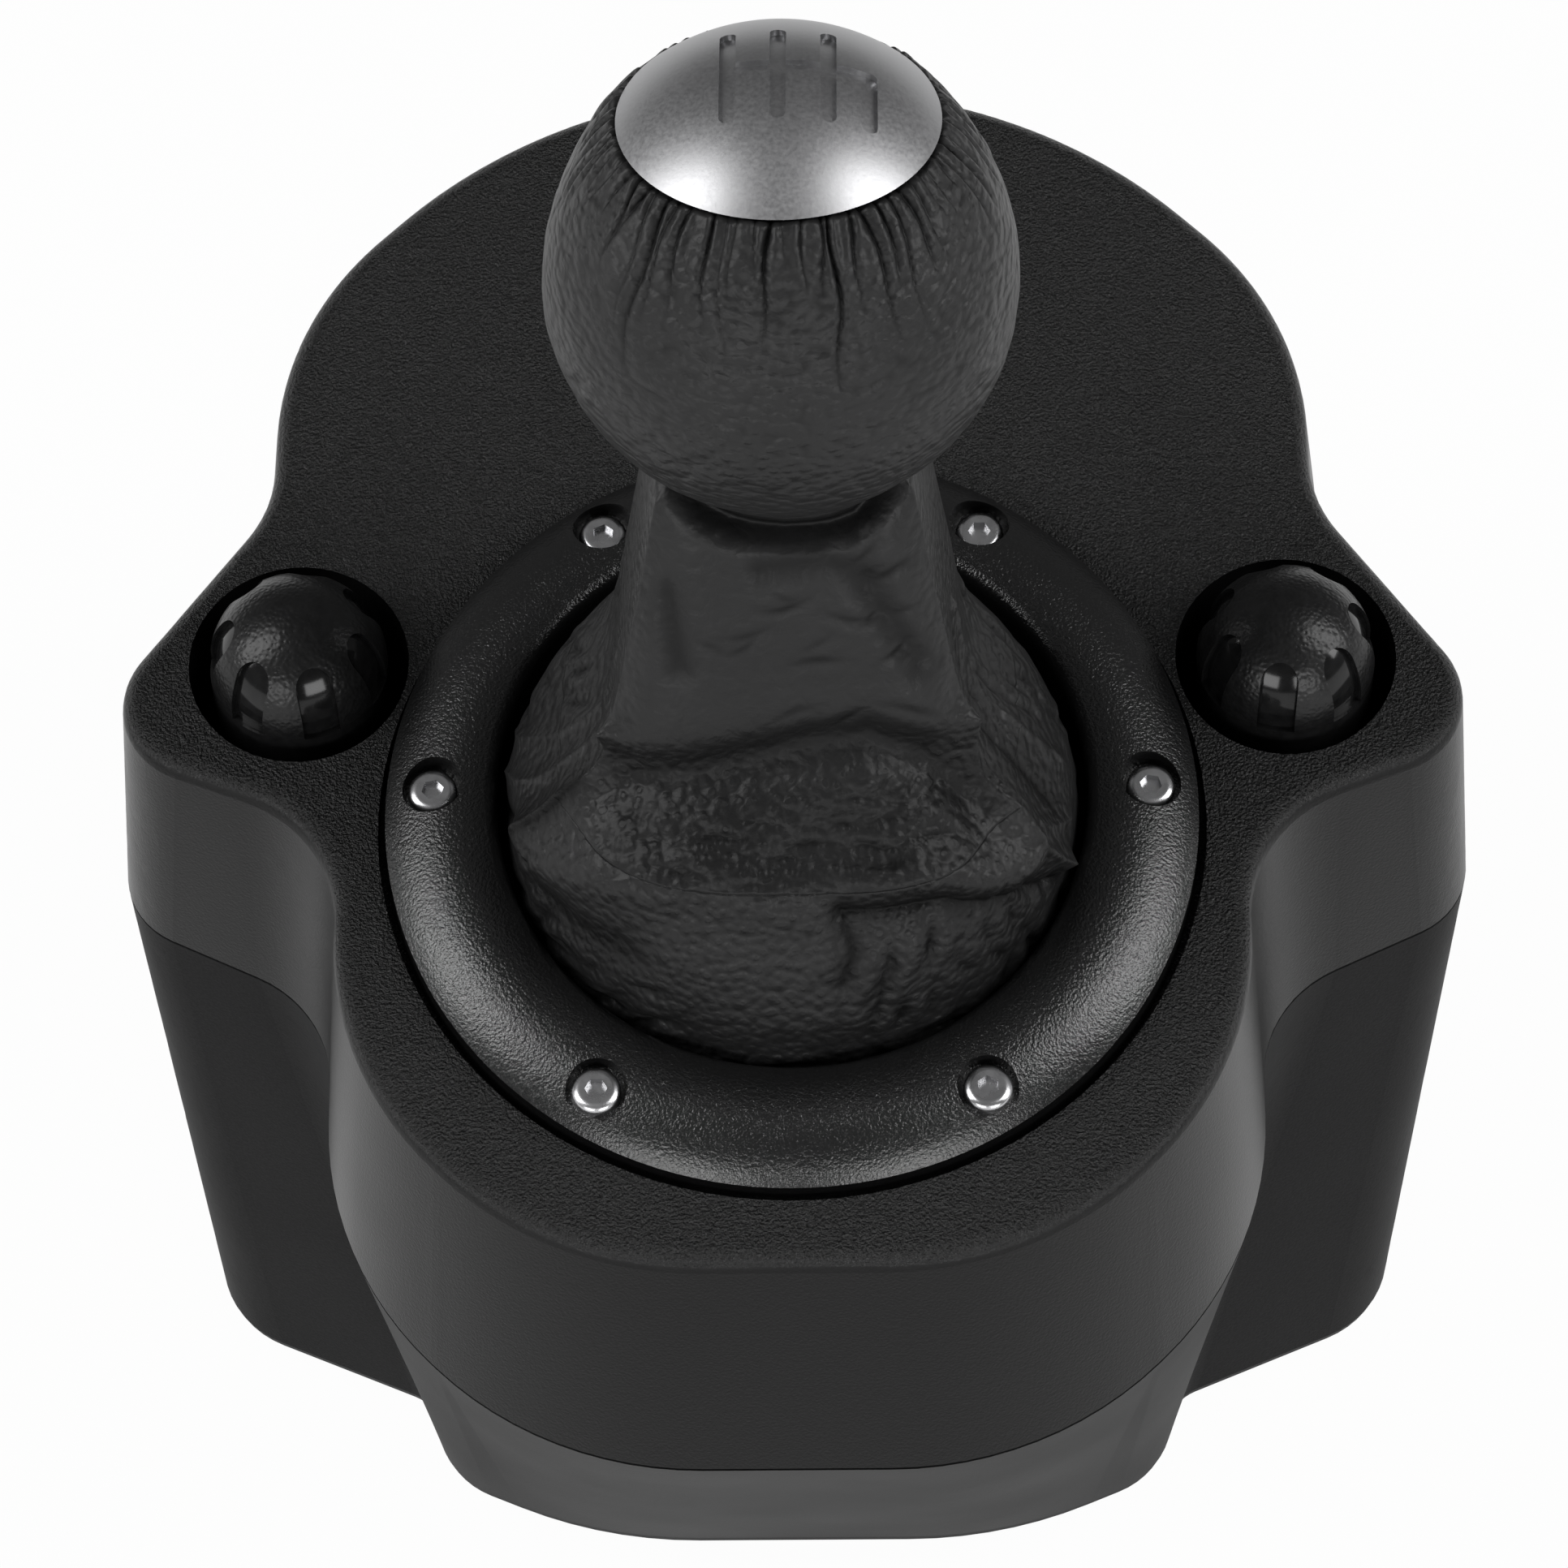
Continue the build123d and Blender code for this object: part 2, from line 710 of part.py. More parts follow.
def make_mount_inserts():
    inserts = []
    for side in sides:
        x, y = side * insert_x, ring_y + insert_y
        insert = post(insert_radius, foot_height, foot_height + insert_length, x, y)
        inserts.append(insert - post(insert_bore, 0, ring_height, x, y))
    return inserts


# Mechanism

def make_mechanism_frame():
    low = ballast_top
    high = low + frame_plate_thickness
    profile = [
        lever_point(-cheek_top_half, gate_height),
        lever_point(cheek_top_half, gate_height),
        lever_point(cheek_pivot_half, 0),
        (ring_y + frame_rear, high),
        (ring_y + frame_rear, low),
        (ring_y - frame_front, low),
        (ring_y - frame_front, high),
        lever_point(-cheek_pivot_half, 0),
    ]
    cheek_outer = cheek_inner + cheek_thickness
    frame = extrude(Plane.YZ * make_face(Polyline(*profile, close=True).edges()), cheek_outer, both=True)
    frame -= slab(-cheek_inner, cheek_inner, -ring_height, ring_height, high, 2 * ring_height)
    column = [
        lever_point(-dish_half, -dish_rim - dish_thickness),
        lever_point(dish_half, -dish_rim - dish_thickness),
        (ring_y - frame_front + tongue_lap, high),
        (ring_y - frame_front + tongue_lap, low),
        (ring_y - tongue_front, low),
    ]
    frame += extrude(Plane.YZ * make_face(Polyline(*column, close=True).edges()), tongue_half_width, both=True)
    for x, y in gate_screw_spots():
        half = gate_flange_width / 2
        low_end = gate_height - gate_shank_length - loose_clearance
        frame += lever_frame * slab(x - half, x + half, y - half, y + half, low_end, gate_height)
    bore = trunnion_radius + pivot_bush_wall
    frame -= lever_frame * shaft_along_x * Cylinder(bore, 4 * cheek_outer)
    for x, y in gate_screw_spots():
        frame -= lever_frame * post(shank_radius, gate_height - 2 * gate_shank_length, gate_height, x, y)
    for side in sides:
        for y in frame_screw_y:
            frame -= post(shank_radius + loose_clearance, 0, ring_height / 2, side * frame_screw_x, ring_y + y)
    return frame


def gate_screw_spots():
    x = cheek_inner - gate_flange_width / 2
    return [(side * x, end * gate_screw_y) for side in sides for end in sides]


def gate_middle():
    return gate_height + gate_thickness / 2


def make_gate_plate():
    column = gate_middle() * math.tan(math.radians(side_swing))
    reach = gate_middle() * math.tan(math.radians(fore_aft_swing)) + tube_radius + gate_end_clearance
    half_width = cheek_inner + cheek_thickness
    plan = RectangleRounded(2 * half_width, 2 * gate_half_depth, gate_flange_width / 2)
    for index in [-1, 0, 1]:
        plan -= Pos(index * column, 0) * Rectangle(2 * gate_slot_half, 2 * reach)
    plan -= Rectangle(2 * column + 2 * gate_slot_half, 2 * gate_slot_half)
    for x, y in gate_screw_spots():
        plan -= Pos(x, y) * Circle(shank_radius + loose_clearance)
    return lever_frame * Pos(0, 0, gate_height) * extrude(plan, gate_thickness)


def make_gate_screws():
    height = gate_height + gate_thickness
    return [lever_frame * Pos(x, y, height) * screw(gate_shank_length) for x, y in gate_screw_spots()]


def make_frame_screws():
    height = ballast_top + frame_plate_thickness
    screws = []
    for side in sides:
        for y in frame_screw_y:
            screws.append(Pos(side * frame_screw_x, ring_y + y, height) * screw(frame_shank_length))
    return screws


def make_gimbal_yoke():
    outer_x = yoke_inner_width / 2 + yoke_wall_x
    outer_y = yoke_inner_depth / 2 + yoke_wall_y
    yoke = Box(2 * outer_x, 2 * outer_y, 2 * yoke_half_height)
    yoke = fillet(yoke.edges().filter_by(Axis.Z), yoke_wall_y)
    boss_end = cheek_inner - yoke_cheek_gap
    yoke += shaft_along_x * Cylinder(yoke_boss_radius, 2 * boss_end)
    yoke -= Box(yoke_inner_width, yoke_inner_depth, 4 * yoke_half_height)
    yoke -= shaft_along_x * Cylinder(trunnion_radius, 4 * boss_end)
    yoke -= shaft_along_y * Cylinder(side_pin_radius + running_clearance, 4 * outer_y)
    return lever_frame * yoke


def make_fore_aft_pins():
    near = yoke_inner_width / 2 + yoke_wall_x - trunnion_grip
    far = cheek_inner + cheek_thickness + pivot_bush_overhang + trunnion_tail
    pins = []
    for side in sides:
        pin = Pos(side * (near + far) / 2, 0, 0) * shaft_along_x * Cylinder(trunnion_radius, far - near)
        pins.append(lever_frame * pin)
    return pins


def make_pivot_bushes():
    length = cheek_thickness + 2 * pivot_bush_overhang
    bushes = []
    for side in sides:
        middle = side * (cheek_inner + cheek_thickness / 2)
        bush = Cylinder(trunnion_radius + pivot_bush_wall, length)
        bush -= Cylinder(trunnion_radius + running_clearance, 2 * length)
        bushes.append(lever_frame * Pos(middle, 0, 0) * shaft_along_x * bush)
    return bushes


def make_fore_aft_sensor():
    near = cheek_inner + cheek_thickness + pivot_bush_overhang
    box = Box(sensor_thickness, sensor_size, sensor_size)
    box = fillet(box.edges().filter_by(Axis.X), sensor_thickness / 4)
    box = Pos(near + sensor_thickness / 2, 0, 0) * box
    bore = shaft_along_x * Cylinder(trunnion_radius + running_clearance, 4 * near)
    return lever_frame * (box - bore)


def make_side_sensor():
    near = yoke_inner_depth / 2 + yoke_wall_y
    box = Box(side_sensor_size, side_sensor_thickness, side_sensor_size)
    box = fillet(box.edges().filter_by(Axis.Y), side_sensor_thickness / 4)
    box = Pos(0, near + side_sensor_thickness / 2, 0) * box
    bore = shaft_along_y * Cylinder(side_pin_radius + running_clearance, 4 * near)
    return lever_frame * (box - bore)


def make_gimbal_block():
    block = slab(-block_width / 2, block_width / 2, -block_depth / 2, block_depth / 2, -block_low, block_high)
    block = fillet(block.edges().filter_by(Axis.Z), block_width / 8)
    block += post(sleeve_radius, -sleeve_reach, 0)
    block -= post(tube_radius, -detent_spring_top / 2, 2 * block_high)
    block -= post(plunger_radius + running_clearance, -2 * sleeve_reach, -detent_spring_top)
    block -= shaft_along_y * pin_space()
    return lever_frame * block


def pin_space():
    """The two side pins as one shape along Z, with the gap between them."""
    near = block_depth / 2 - side_pin_grip
    far = yoke_inner_depth / 2 + yoke_wall_y + side_sensor_thickness * 0.7
    front = post(side_pin_radius, near, far - side_sensor_thickness * 0.7)
    return front + post(side_pin_radius, -far, -near)


def make_side_pins():
    return lever_frame * shaft_along_y * pin_space()


def make_centring_springs():
    """Torsion springs round the side pins, each with one short leg towards the yoke's top."""
    room = (yoke_inner_depth - block_depth) / 2
    pitch = (room - 2 * spring_wire) / spring_turns
    springs = []
    for side in sides:
        spring = coil(pitch, spring_turns, spring_radius, spring_wire)
        place = Pos(0, side * (block_depth / 2 + room / 2), 0) * shaft_along_y
        springs.append(lever_frame * place * Pos(0, 0, -pitch * spring_turns / 2) * spring)
    return springs


def make_lever_tube():
    tube = post(tube_radius, -detent_spring_top / 2, tube_top)
    tube -= post(tube_bore, rod_foot - press_travel - rod_floor_gap, tube_top + overrun)
    slot_low = flag_low - press_travel - flag_slot_clearance
    slot_half = flag_half_thickness + flag_slot_clearance
    slot_high = flag_low + flag_height + flag_slot_clearance
    tube -= slab(0, 2 * tube_radius, -slot_half, slot_half, slot_low, slot_high)
    return lever_frame * tube


def make_reverse_sensor():
    far = fork_near + fork_length
    fork = slab(fork_near - 1.5 * flag_slot_clearance, far, -fork_half_width, fork_half_width,
                block_high, block_high + fork_height)
    fork -= slab(-far, 2 * far, -fork_slot_half, fork_slot_half, block_high + fork_floor, 4 * block_high)
    return lever_frame * fork


def make_reverse_flag():
    flag = slab(tube_bore, flag_reach, -flag_half_thickness, flag_half_thickness, flag_low, flag_low + flag_height)
    return lever_frame * flag


def make_detent_plunger():
    middle = plunger_reach - plunger_radius
    body = post(plunger_radius, -middle, -plunger_reach + plunger_length)
    return lever_frame * (body + Pos(0, 0, -middle) * Sphere(plunger_radius))


def make_detent_spring():
    low = -plunger_reach + plunger_length + detent_wire
    high = -detent_spring_top - detent_wire
    pitch = (high - low) / detent_turns
    spring = coil(pitch, detent_turns, plunger_radius - detent_wire, detent_wire)
    return lever_frame * Pos(0, 0, low) * spring


def make_detent_plate():
    bowl = plunger_reach + dish_clearance
    dish = slab(-dish_half, dish_half, -dish_half, dish_half, -dish_rim - dish_thickness, -dish_rim)
    dish -= Sphere(bowl)
    for fore in [-1, 0, 1]:
        for across in [-1, 0, 1]:
            dimple = Pos(0, 0, -bowl - dimple_depth + dimple_radius) * Sphere(dimple_radius)
            swing = Rotation(fore * fore_aft_swing, 0, 0) * Rotation(0, across * side_swing, 0)
            dish -= swing * dimple
    return lever_frame * dish


# Knob

def make_push_rod():
    return lever_frame * post(tube_bore - running_clearance, rod_foot, ball_reach - insert_high)


def ball_solid(shrink):
    """Knob with a flat underside, a round lower half and a taller upper half, up to the cap's rim."""
    across = ball_radius - shrink
    above = ball_crown - shrink
    rim_angle = math.asin(rim_height / above)
    angles = [0, rim_angle / 2, rim_angle]
    points = [(across * math.cos(angle), above * math.sin(angle)) for angle in angles]
    way_out = (-across * math.sin(rim_angle), above * math.cos(rim_angle))
    foot = -math.sqrt(across ** 2 - ball_foot_radius ** 2)
    middle = across * math.sqrt(0.5)
    crown = Spline(*points, tangents=[(0, 1), way_out])
    bowl = ThreePointArc((ball_foot_radius, foot), (middle, -middle), (across, 0))
    close = Polyline((ball_foot_radius, foot), (0, foot), (0, rim_height), points[-1])
    return revolve(Plane.XZ * make_face([*bowl.edges(), *crown.edges(), *close.edges()]), Axis.Z)


def make_knob_leather():
    shell = ball_solid(0) - ball_solid(leather_thickness)
    shell -= post(ball_foot_radius - leather_thickness, -2 * ball_radius, 0)
    return ball_frame * shell


def make_knob_core():
    core = ball_solid(leather_thickness)
    low = neck_low - ball_reach
    core += post(neck_radius, low, -ball_radius * 0.75)
    core -= post(neck_bore, low - overrun, neck_cavity_top - ball_reach)
    core -= post(knob_insert_radius, -insert_low, 2 * ball_radius)
    core -= post(tube_bore, -2 * ball_radius, 2 * ball_radius)
    core -= post(cap_plug_radius, rim_height - cap_plug_depth, rim_height + overrun)
    return ball_frame * core


def cap_lens(shrink):
    """Solid under the cap's dome, cut flat at the rim."""
    radius = (rim_radius ** 2 + cap_rise ** 2) / (2 * cap_rise)
    ball = Pos(0, 0, rim_height + cap_rise - radius) * Sphere(radius - shrink)
    return ball & post(rim_radius, rim_height, 2 * ball_radius)


def pattern_slot(length):
    return SlotCenterToCenter(length - pattern_width, pattern_width, rotation=90)


def gate_pattern():
    """Generic six speed pattern with reverse at the lower right, seen from above."""
    plan = pattern_slot(pattern_length)
    for side in sides:
        plan += Pos(side * pattern_column, 0) * pattern_slot(pattern_length)
    middle = (pattern_reverse - pattern_column) / 2
    plan += Pos(middle, 0) * Rectangle(pattern_column + pattern_reverse, pattern_width)
    half = (pattern_length + pattern_width) / 2
    plan += Pos(pattern_reverse, (pattern_width - half) / 2) * pattern_slot(half)
    return plan


def make_knob_cap():
    cap = cap_lens(0) - cap_lens(cap_thickness)
    plug = post(cap_plug_radius, rim_height - cap_plug_depth, rim_height + cap_thickness)
    plug += post(cap_plug_radius, rim_height, rim_height + cap_rise) & cap_lens(0)
    cap += plug
    skin = cap_lens(0) - cap_lens(pattern_depth)
    cap -= skin & extrude(gate_pattern(), 2 * ball_radius)
    return ball_frame * cap


def make_knob_insert():
    insert = post(knob_insert_radius, -insert_low, -insert_high)
    return ball_frame * (insert - post(tube_bore - running_clearance, -2 * ball_radius, 2 * ball_radius))


def make_return_spring():
    low = tube_top + return_wire / 2
    high = neck_cavity_top - return_wire / 2
    spring = coil((high - low) / return_turns, return_turns, return_radius, return_wire)
    return lever_frame * Pos(0, 0, low) * spring


# Boot

def boot_section(level, half, corner, lean_share, shift_share):
    """Rounded square across the boot, leaning and shifting from the bezel's opening towards the lever."""
    y, z = lever_point(0, level)
    opening_y = ring_y + ring_inner_shift
    y += (opening_y - y) * shift_share
    lean = -case_tilt + (lever_lean + case_tilt) * lean_share
    up = (0, math.sin(math.radians(lean)), math.cos(math.radians(lean)))
    plane = Plane(origin=(0, y, z), x_dir=(1, 0, 0), z_dir=up)
    return plane * RectangleRounded(2 * half, 2 * half, corner)


def boot_body(shrink, past):
    """Closed boot shape, run past both of its ends by the given distance."""
    foot = ring_inner - boot_foot_gap - shrink
    plan = RectangleRounded(2 * foot, 2 * foot, foot * boot_round_share)
    lowest = -recess_depth - boot_foot_depth - past
    sections = [ring_frame * Pos(0, ring_inner_shift, low) * plan for low in [lowest, -recess_depth]]
    table = list(zip(boot_level_shares, boot_halves, boot_corners, boot_lean_shares, boot_shift_shares))
    for level_share, half, corner, lean_share, shift_share in table:
        level = ring_level + (boot_top - ring_level) * level_share
        if level_share == boot_level_shares[-1]:
            level += past
        sections.append(boot_section(level, half - shrink, corner - shrink, lean_share, shift_share))
    return loft(sections, ruled=True)


def make_boot():
    return boot_body(0, 0) - boot_body(boot_wall, boot_foot_depth / 2)


def make_boot_collar():
    plan = RectangleRounded(2 * collar_half, 2 * collar_half, collar_corner)
    collar = extrude(Pos(0, 0, collar_low) * plan, collar_top - collar_low)
    collar -= post(collar_bore, collar_low + collar_floor, 2 * tube_top)
    collar -= post(tube_radius, 0, 2 * tube_top)
    return lever_frame * collar


# Electronics

def make_circuit_board():
    low = ballast_top + board_rise
    board = slab(-board_width / 2, board_width / 2, ring_y + board_middle - board_depth / 2,
                 ring_y + board_middle + board_depth / 2, low, low + board_thickness)
    parts = [board]
    for (length, depth, height), (x, y) in zip(chip_sizes, chip_places):
        top = low + board_thickness
        middle_y = ring_y + board_middle + y
        parts.append(slab(x - length / 2, x + length / 2, middle_y - depth / 2, middle_y + depth / 2, top, top + height))
    return parts


def gland_hole(radius):
    y = ring_y + rear_reach
    return Pos(0, y, gland_height) * shaft_along_y * Cylinder(radius, 2 * gland_length)


def make_cable_gland():
    rear = ring_y + rear_reach
    wall_front = rear - gland_length
    body = Pos(0, rear - gland_length / 2, gland_height) * shaft_along_y * Cylinder(gland_radius, gland_length)
    flange = Pos(0, wall_front, gland_height) * shaft_along_y * Cylinder(gland_flange, gland_flange_thickness)
    bore = Pos(0, rear, gland_height) * shaft_along_y * Cylinder(gland_bore, 4 * gland_length)
    return body + flange - bore


# Writing

def pieces():
    """Each node's name with its solids."""
    yield "upper_housing", [make_upper_housing()]
    yield "lower_housing", [make_lower_housing()]
    yield "base_plate", [make_base_plate()]
    yield "ballast_plate", [make_ballast_plate()]
    yield "bezel_ring", [make_bezel_ring()]
    yield "bezel_screws", make_bezel_screws()
    yield "boot_frame", [make_boot_frame()]
    yield "boot", [make_boot()]
    yield "boot_collar", [make_boot_collar()]
    yield "case_screws", make_case_screws()
    yield "base_screws", make_base_screws()
    yield "rubber_feet", make_rubber_feet()
    yield "mount_inserts", make_mount_inserts()
    yield "mechanism_frame", [make_mechanism_frame()]
    yield "frame_screws", make_frame_screws()
    yield "gate_plate", [make_gate_plate()]
    yield "gate_screws", make_gate_screws()
    yield "pivot_bushes", make_pivot_bushes()
    yield "fore_aft_sensor", [make_fore_aft_sensor()]
    yield "gimbal_yoke", [make_gimbal_yoke()]
    yield "fore_aft_pins", make_fore_aft_pins()
    yield "side_sensor", [make_side_sensor()]
    yield "centring_springs", make_centring_springs()
    yield "gimbal_block", [make_gimbal_block()]
    yield "side_pins", [make_side_pins()]
    yield "lever_tube", [make_lever_tube()]
    yield "reverse_sensor", [make_reverse_sensor()]
    yield "detent_plunger", [make_detent_plunger()]
    yield "detent_spring", [make_detent_spring()]
    yield "detent_plate", [make_detent_plate()]
    yield "push_rod", [make_push_rod()]
    yield "reverse_flag", [make_reverse_flag()]
    yield "return_spring", [make_return_spring()]
    yield "knob_insert", [make_knob_insert()]
    yield "knob_core", [make_knob_core()]
    yield "knob_leather", [make_knob_leather()]
    yield "knob_cap", [make_knob_cap()]
    yield "circuit_board", make_circuit_board()
    yield "cable_gland", [make_cable_gland()]
    for side, word in zip(sides, ["right", "left"]):
        yield f"clamp_knob_{word}", [make_clamp_knob(side)]
        yield f"retaining_ring_{word}", [make_retaining_rings(side)]
        yield f"clamp_bush_{word}", [make_clamp_bush(side)]
        yield f"clamp_screw_{word}", [make_clamp_screw(side)]
        yield f"clamp_guide_{word}", [make_clamp_guide(side)]
        yield f"clamp_jaw_{word}", [make_clamp_jaw(side)]
        yield f"jaw_pad_{word}", [make_jaw_pad(side)]


os.makedirs("parts", exist_ok=True)
for name, shapes in pieces():
    solids = [solid for shape in shapes for solid in shape.solids()]
    export_step(Compound(children=solids) if len(solids) > 1 else solids[0], f"parts/{name}.step")
    print(name, len(solids), round(sum(solid.volume for solid in solids), 1))
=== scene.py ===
import bpy
import json
import math
import numpy as np
from mathutils import Matrix, Vector


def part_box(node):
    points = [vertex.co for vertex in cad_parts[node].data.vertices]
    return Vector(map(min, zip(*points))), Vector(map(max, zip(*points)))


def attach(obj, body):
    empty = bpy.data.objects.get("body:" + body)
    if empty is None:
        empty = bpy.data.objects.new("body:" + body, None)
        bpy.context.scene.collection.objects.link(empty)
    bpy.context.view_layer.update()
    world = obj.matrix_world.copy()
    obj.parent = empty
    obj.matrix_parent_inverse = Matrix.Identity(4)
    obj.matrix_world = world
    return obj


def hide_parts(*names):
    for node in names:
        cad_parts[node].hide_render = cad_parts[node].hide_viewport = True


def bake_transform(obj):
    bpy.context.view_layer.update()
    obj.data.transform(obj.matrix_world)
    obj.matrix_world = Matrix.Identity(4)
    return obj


# Looks of the gear shifter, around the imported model. Metres, +Z up, the driver is on the -Y side.

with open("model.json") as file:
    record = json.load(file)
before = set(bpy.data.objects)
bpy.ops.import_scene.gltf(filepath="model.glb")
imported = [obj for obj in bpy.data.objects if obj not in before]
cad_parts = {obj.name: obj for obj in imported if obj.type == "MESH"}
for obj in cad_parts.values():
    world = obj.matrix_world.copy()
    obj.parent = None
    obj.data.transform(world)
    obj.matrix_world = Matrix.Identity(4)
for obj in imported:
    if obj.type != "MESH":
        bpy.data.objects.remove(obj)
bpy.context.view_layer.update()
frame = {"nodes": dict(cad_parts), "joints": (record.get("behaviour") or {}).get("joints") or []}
nodes = frame["nodes"]
joints = {joint["name"]: joint for joint in frame["joints"]}

millimetre = 0.001

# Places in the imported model
ring_height = 0.112
ring_y = (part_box("bezel_ring")[0][1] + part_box("bezel_ring")[1][1]) / 2
ring_tilt = math.radians(6.5)
pivot = Vector(joints["fore_aft"]["pos_m"])
lever_up = Vector(joints["push_down"]["axis"]).normalized()
lever_forward = Vector((0, lever_up.z, -lever_up.y))
ball_reach = 0.1433
ball_radius = 0.0225
ball_crown = 0.0251
ball_foot_radius = 0.008
rim_height = 0.0186
ball_centre = pivot + lever_up * ball_reach

# Camera, fitted to the photograph
photo_size = 1932
focal_pixels = 8449
ring_pixel = (976, 1012)
camera_distance = 0.7
camera_elevation = math.radians(56)
camera_turn = math.radians(1.16)
camera_roll = math.radians(1.4)
sensor_width = 36

generator = np.random.default_rng(7)


# Building blocks

def grid_mesh(name, points, close_around=True, close_ends=False):
    """Quad mesh through a rows by columns array of points, joined round the columns."""
    rows, columns, _ = points.shape
    faces = []
    last_row = rows if close_ends else rows - 1
    last_column = columns if close_around else columns - 1
    for row in range(last_row):
        above = (row + 1) % rows
        for column in range(last_column):
            beside = (column + 1) % columns
            near = (row * columns + column, row * columns + beside)
            far = (above * columns + beside, above * columns + column)
            faces.append(near + far)
    mesh = bpy.data.meshes.new(name)
    mesh.from_pydata(points.reshape(-1, 3).tolist(), [], faces)
    mesh.validate()
    mesh.update()
    for polygon in mesh.polygons:
        polygon.use_smooth = True
    piece = bpy.data.objects.new(name, mesh)
    bpy.context.scene.collection.objects.link(piece)
    return piece


def mark_points(piece, name, amounts):
    """Store a share from 0 to 1 for each point, for the leather to read."""
    attribute = piece.data.attributes.new(name, "FLOAT", "POINT")
    attribute.data.foreach_set("value", np.clip(amounts, 0, 1).ravel().astype(np.float32))


def smooth_step(value, low, high):
    share = np.clip((value - low) / (high - low), 0, 1)
    return share * share * (3 - 2 * share)


# Materials

class Nodes:
    """Short way to build a node material."""

    def __init__(self, name):
        self.material = bpy.data.materials.new(name)
        self.material.use_nodes = True
        self.tree = self.material.node_tree
        self.shader = self.tree.nodes["Principled BSDF"]
        self.place = self.add("ShaderNodeTexCoord").outputs["Object"]

    def add(self, kind, **settings):
        node = self.tree.nodes.new(kind)
        for key, value in settings.items():
            setattr(node, key, value)
        return node

    def link(self, source, target):
        self.tree.links.new(source, target)

    def stretched(self, scale):
        mapping = self.add("ShaderNodeMapping")
        mapping.inputs["Scale"].default_value = scale
        self.link(self.place, mapping.inputs["Vector"])
        return mapping.outputs["Vector"]

    def noise(self, scale, detail=3.0, roughness=0.5, place=None, distortion=0.0):
        node = self.add("ShaderNodeTexNoise")
        node.inputs["Scale"].default_value = scale
        node.inputs["Detail"].default_value = detail
        node.inputs["Roughness"].default_value = roughness
        node.inputs["Distortion"].default_value = distortion
        self.link(place or self.place, node.inputs["Vector"])
        return node.outputs["Fac"]

    def cells(self, scale, place=None):
        """Distance from the middle of soft cells."""
        node = self.add("ShaderNodeTexVoronoi", feature="SMOOTH_F1")
        node.inputs["Scale"].default_value = scale
        self.link(place or self.place, node.inputs["Vector"])
        return node.outputs["Distance"]

    def ramp(self, value, stops):
        """Colour between two (position, colour) stops."""
        node = self.add("ShaderNodeValToRGB")
        for element, (position, colour) in zip(node.color_ramp.elements, stops):
            element.position = position
            element.color = (*colour, 1)
        self.link(value, node.inputs["Fac"])
        return node.outputs["Color"]

    def math(self, operation, first, second):
        node = self.add("ShaderNodeMath", operation=operation)
        for socket, value in zip(node.inputs, (first, second)):
            if isinstance(value, (int, float)):
                socket.default_value = value
            else:
                self.link(value, socket)
        return node.outputs["Value"]

    def span(self, value, low, high, to_low=0.0, to_high=1.0):
        """Carry a value from one range to another, held at the ends."""
        node = self.add("ShaderNodeMapRange")
        for key, number in {"From Min": low, "From Max": high, "To Min": to_low, "To Max": to_high}.items():
            node.inputs[key].default_value = number
        self.link(value, node.inputs["Value"])
        return node.outputs["Result"]

    def bump(self, layers):
        """Chain of bumps from (height, distance in metres, strength)."""
        normal = None
        for height, distance, strength in layers:
            node = self.add("ShaderNodeBump")
            node.inputs["Distance"].default_value = distance
            node.inputs["Strength"].default_value = strength
            self.link(height, node.inputs["Height"])
            if normal is not None:
                self.link(normal, node.inputs["Normal"])
            normal = node.outputs["Normal"]
        self.link(normal, self.shader.inputs["Normal"])

    def colour(self, value, low, high, dark, light):
        self.link(self.ramp(value, [(low, dark), (high, light)]), self.shader.inputs["Base Color"])

    def roughness(self, value, low, high, from_low=0.3, from_high=0.7):
        self.link(self.span(value, from_low, from_high, low, high), self.shader.inputs["Roughness"])


cool_share = 1.02


def grey(level):
    """A grey that leans slightly to blue."""
    return (level, level, level * cool_share)


def textured_plastic(name, level, grain, depth, rough, shine=0.3, wall_share=0.3):
    """Moulded plastic with a spark eroded grain that is strongest on faces that look up."""
    wall_shine_share = 0.4
    flow_depth, flow_strength = 0.0004, 0.06
    made = Nodes(name)
    fine = made.noise(grain, 2.0, 0.6)
    cloud = made.noise(35, 2.0)
    made.colour(fine, 0.35, 0.75, grey(level * 0.8), grey(level * 1.3))
    made.roughness(cloud, rough - 0.03, rough + 0.03)
    facing = made.add("ShaderNodeSeparateXYZ")
    made.link(made.add("ShaderNodeNewGeometry").outputs["Normal"], facing.inputs["Vector"])
    upward = facing.outputs["Z"]
    gloss = made.span(upward, 0.2, 0.7, shine * wall_shine_share, shine)
    made.link(gloss, made.shader.inputs["Specular IOR Level"])
    grain_height = made.math("MULTIPLY", fine, made.span(upward, 0.45, 0.8, wall_share, 1.0))
    made.bump([(grain_height, depth, 0.9), (cloud, flow_depth, flow_strength)])
    return made.material


# Sockets of a colour mix node, which share their names with its other kinds
mix_first, mix_second, mix_result = 6, 7, 2


